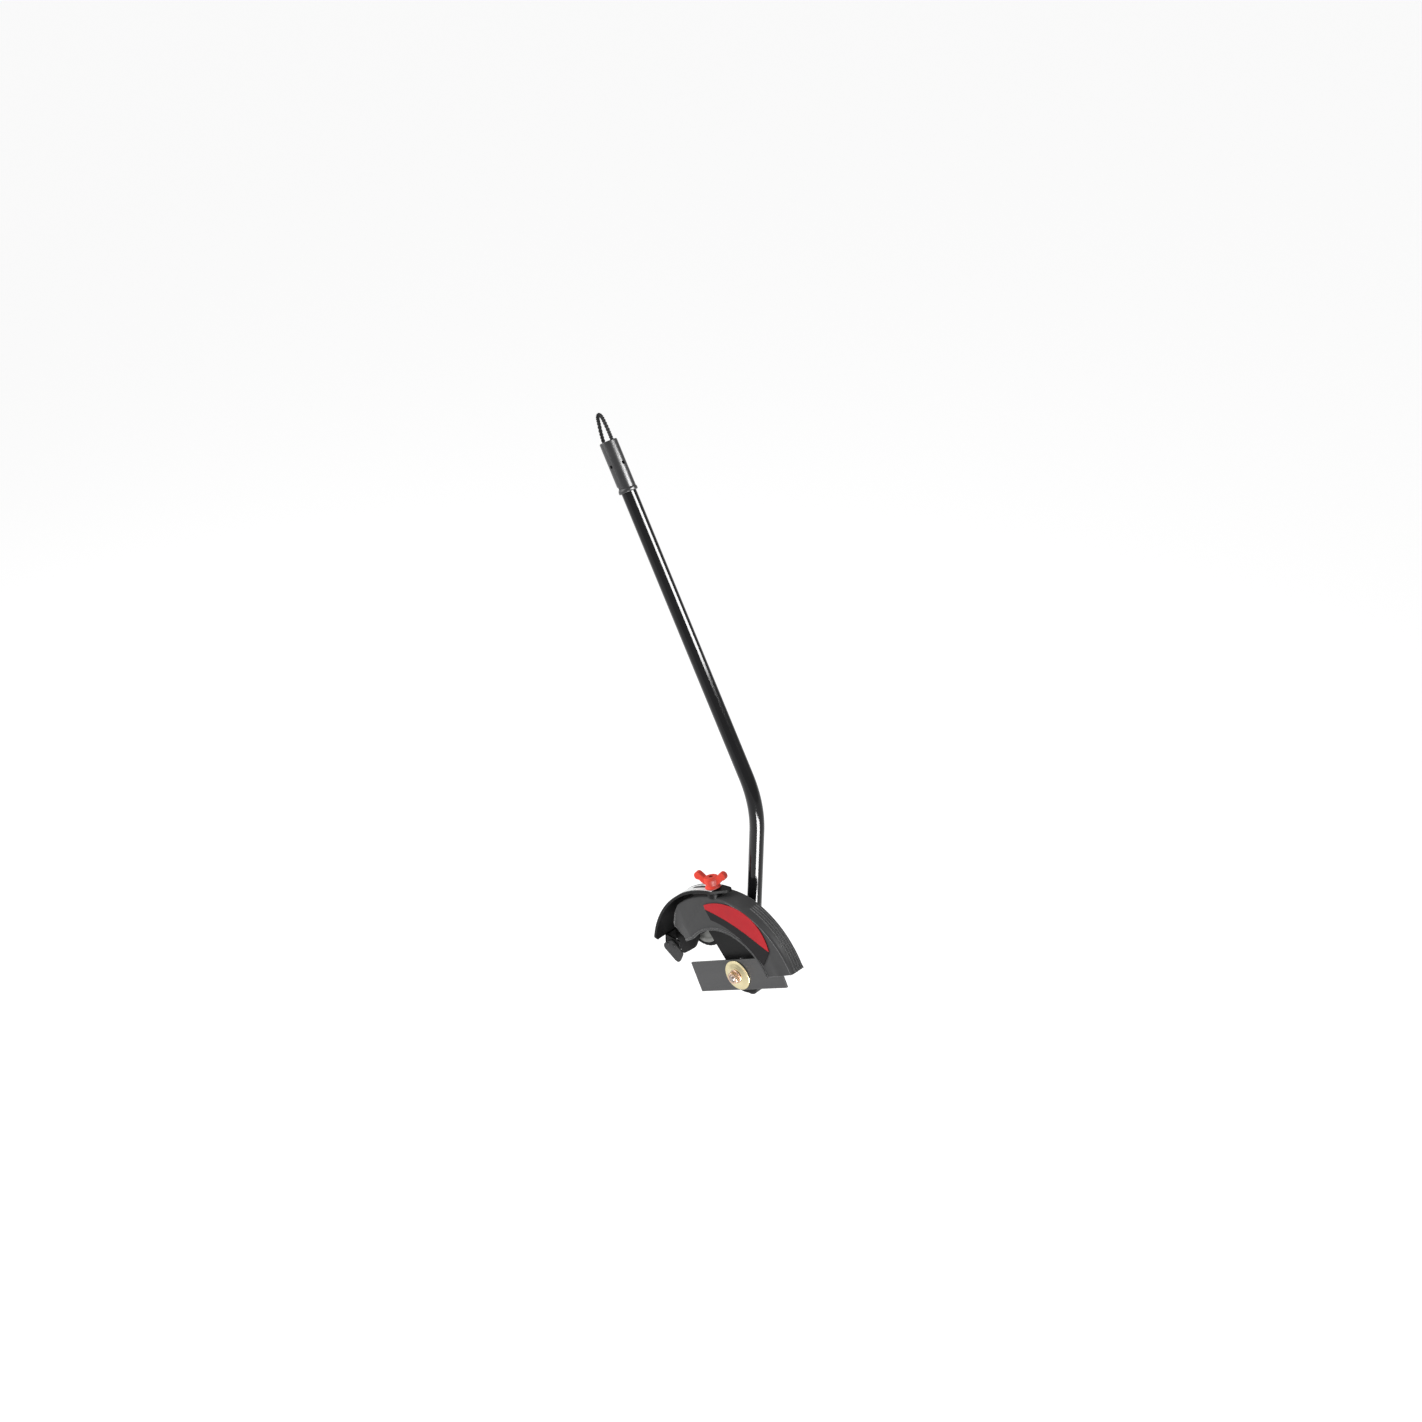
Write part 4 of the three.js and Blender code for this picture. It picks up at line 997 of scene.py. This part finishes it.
def build_wheel():
    """The dished rim, and a tyre whose tread has a groove round its middle and grooves across it."""
    front, back = WHEEL_FRONT, WHEEL_BACK
    rim = [(4.3, front + 1), (9, front + 1), (10, front + 4), (23, front + 3.4), (26, front + 0.6),
           (RIM_R, front), (RIM_R, back), (26, back - 0.6), (23, back - 3.4), (10, back - 4),
           (9, back - 1), (4.3, back - 1)]
    finish(make("wheel_rim_piece", lathe(fillet(rim, 1.1, 4, closed=True), sides=96, closed=True),
                AXLE_MM, sharp=50), RIM_PLASTIC, "wheel_rim")
    width = back - front
    rings = []
    steps = TREAD_BLOCKS * STEPS_PER_BLOCK
    for k in range(steps):
        groove = GROOVE_DEPTH if k % STEPS_PER_BLOCK in GROOVE_STEPS else 0.0
        profile = [(RIM_R + 0.3, front), (WHEEL_R - 2.6, front),
                   (WHEEL_R - 1 - groove * 0.6, front + 1.2),
                   (WHEEL_R - groove, front + 3), (WHEEL_R - groove, front + width * 0.42),
                   (WHEEL_R - 0.9, front + width * 0.46), (WHEEL_R - 0.9, front + width * 0.54),
                   (WHEEL_R - groove, front + width * 0.58), (WHEEL_R - groove, back - 3),
                   (WHEEL_R - 1 - groove * 0.6, back - 1.2), (WHEEL_R - 2.6, back), (RIM_R + 0.3, back)]
        c, s = math.cos(2 * math.pi * k / steps), math.sin(2 * math.pi * k / steps)
        rings.append([(r * c, h, r * s) for r, h in profile])
    finish(make("wheel_tyre_piece", loft(rings, along=True), AXLE_MM, sharp=40), TYRE, "wheel_tyre")


def build_knob():
    """The wing knob: a waisted hub with two wings that grow out of it, moulded as one."""
    base = KNOB_BASE
    place = BOLT_MM @ Matrix.Rotation(KNOB_YAW, 4, "Z")
    hub = make("wing_knob_piece", lathe(fillet([
        (0, base - 0.8), (12, base - 0.8), (12.2, base + 1.2), (10.4, base + 2.6), (9.4, base + 4),
        (11, base + 9.5), (11.4, base + 14), (9.8, base + 16.8), (0, base + 16.8),
    ], 1, 3), "Z", 72), place)
    right = bezier([(8, base + 3.6), (15, base + 5.6), (19.4, base + 11.8)], 8)
    for degrees in range(-60, 111, 10):
        x, z = polar(6.4, degrees * DEG)
        right.append((20.8 + x, base + 18.2 + z))
    right += bezier([(18.6, base + 24.2), (14, base + 20.5), (9, base + 14.3)], 8)
    for side in (1, -1):
        wing = make("wing", slab([(side * x, z) for x, z in right], -4.4, 4.4), place)
        weld(hub, wing)
    soften(hub, 0.5, 8)
    bore = make("bore", lathe(fillet([
        (0, base - 2), (9.4, base - 2), (9.4, base), (6.3, base), (6.3, base + 13.2), (3.6, base + 13.6),
        (3.6, base + 18), (0, base + 18)], 0.2, 1), "Z", 48), place)
    carve(hub, bore, sharp=50)
    finish(hub, RED_PLASTIC, "wing_knob")


build_tube()
build_cap()
build_loop()
build_blade()
build_cup_and_nut()
build_spindle()
build_guard()
build_badge()
build_bracket()
build_scale_marks()
build_flap()
build_wheel()
build_knob()

EDGE_WIDTHS = {
    "gear_housing": 0.6, "gearbox_cover": 0.6, "depth_scale_plate": 0.15,
    "inner_flange": 0.3, "grease_plug": 0.3, "knob_washer": 0.25,
    "wheel_axle_bolt": 0.3, "wheel_lock_nut": 0.3, "wheel_washer": 0.25, "wheel_spacer": 0.25,
    "clamp_bolt": 0.3, "guard_screw_1": 0.25, "guard_screw_2": 0.25, "guard_screw_3": 0.25,
    "flap_rivet_1": 0.2, "flap_rivet_2": 0.2, "tube_clamp_screw_1": 0.25, "tube_clamp_screw_2": 0.25,
    "cover_screw_1": 0.2, "cover_screw_2": 0.2, "cover_screw_3": 0.2,
}
for node_name, edge_width in EDGE_WIDTHS.items():
    polish(node_name, edge_width)

for node_name, node in NODES.items():
    node.data.materials.clear()
    node.data.materials.append(SLOT_MATERIAL[SLOT_OF[node_name]])
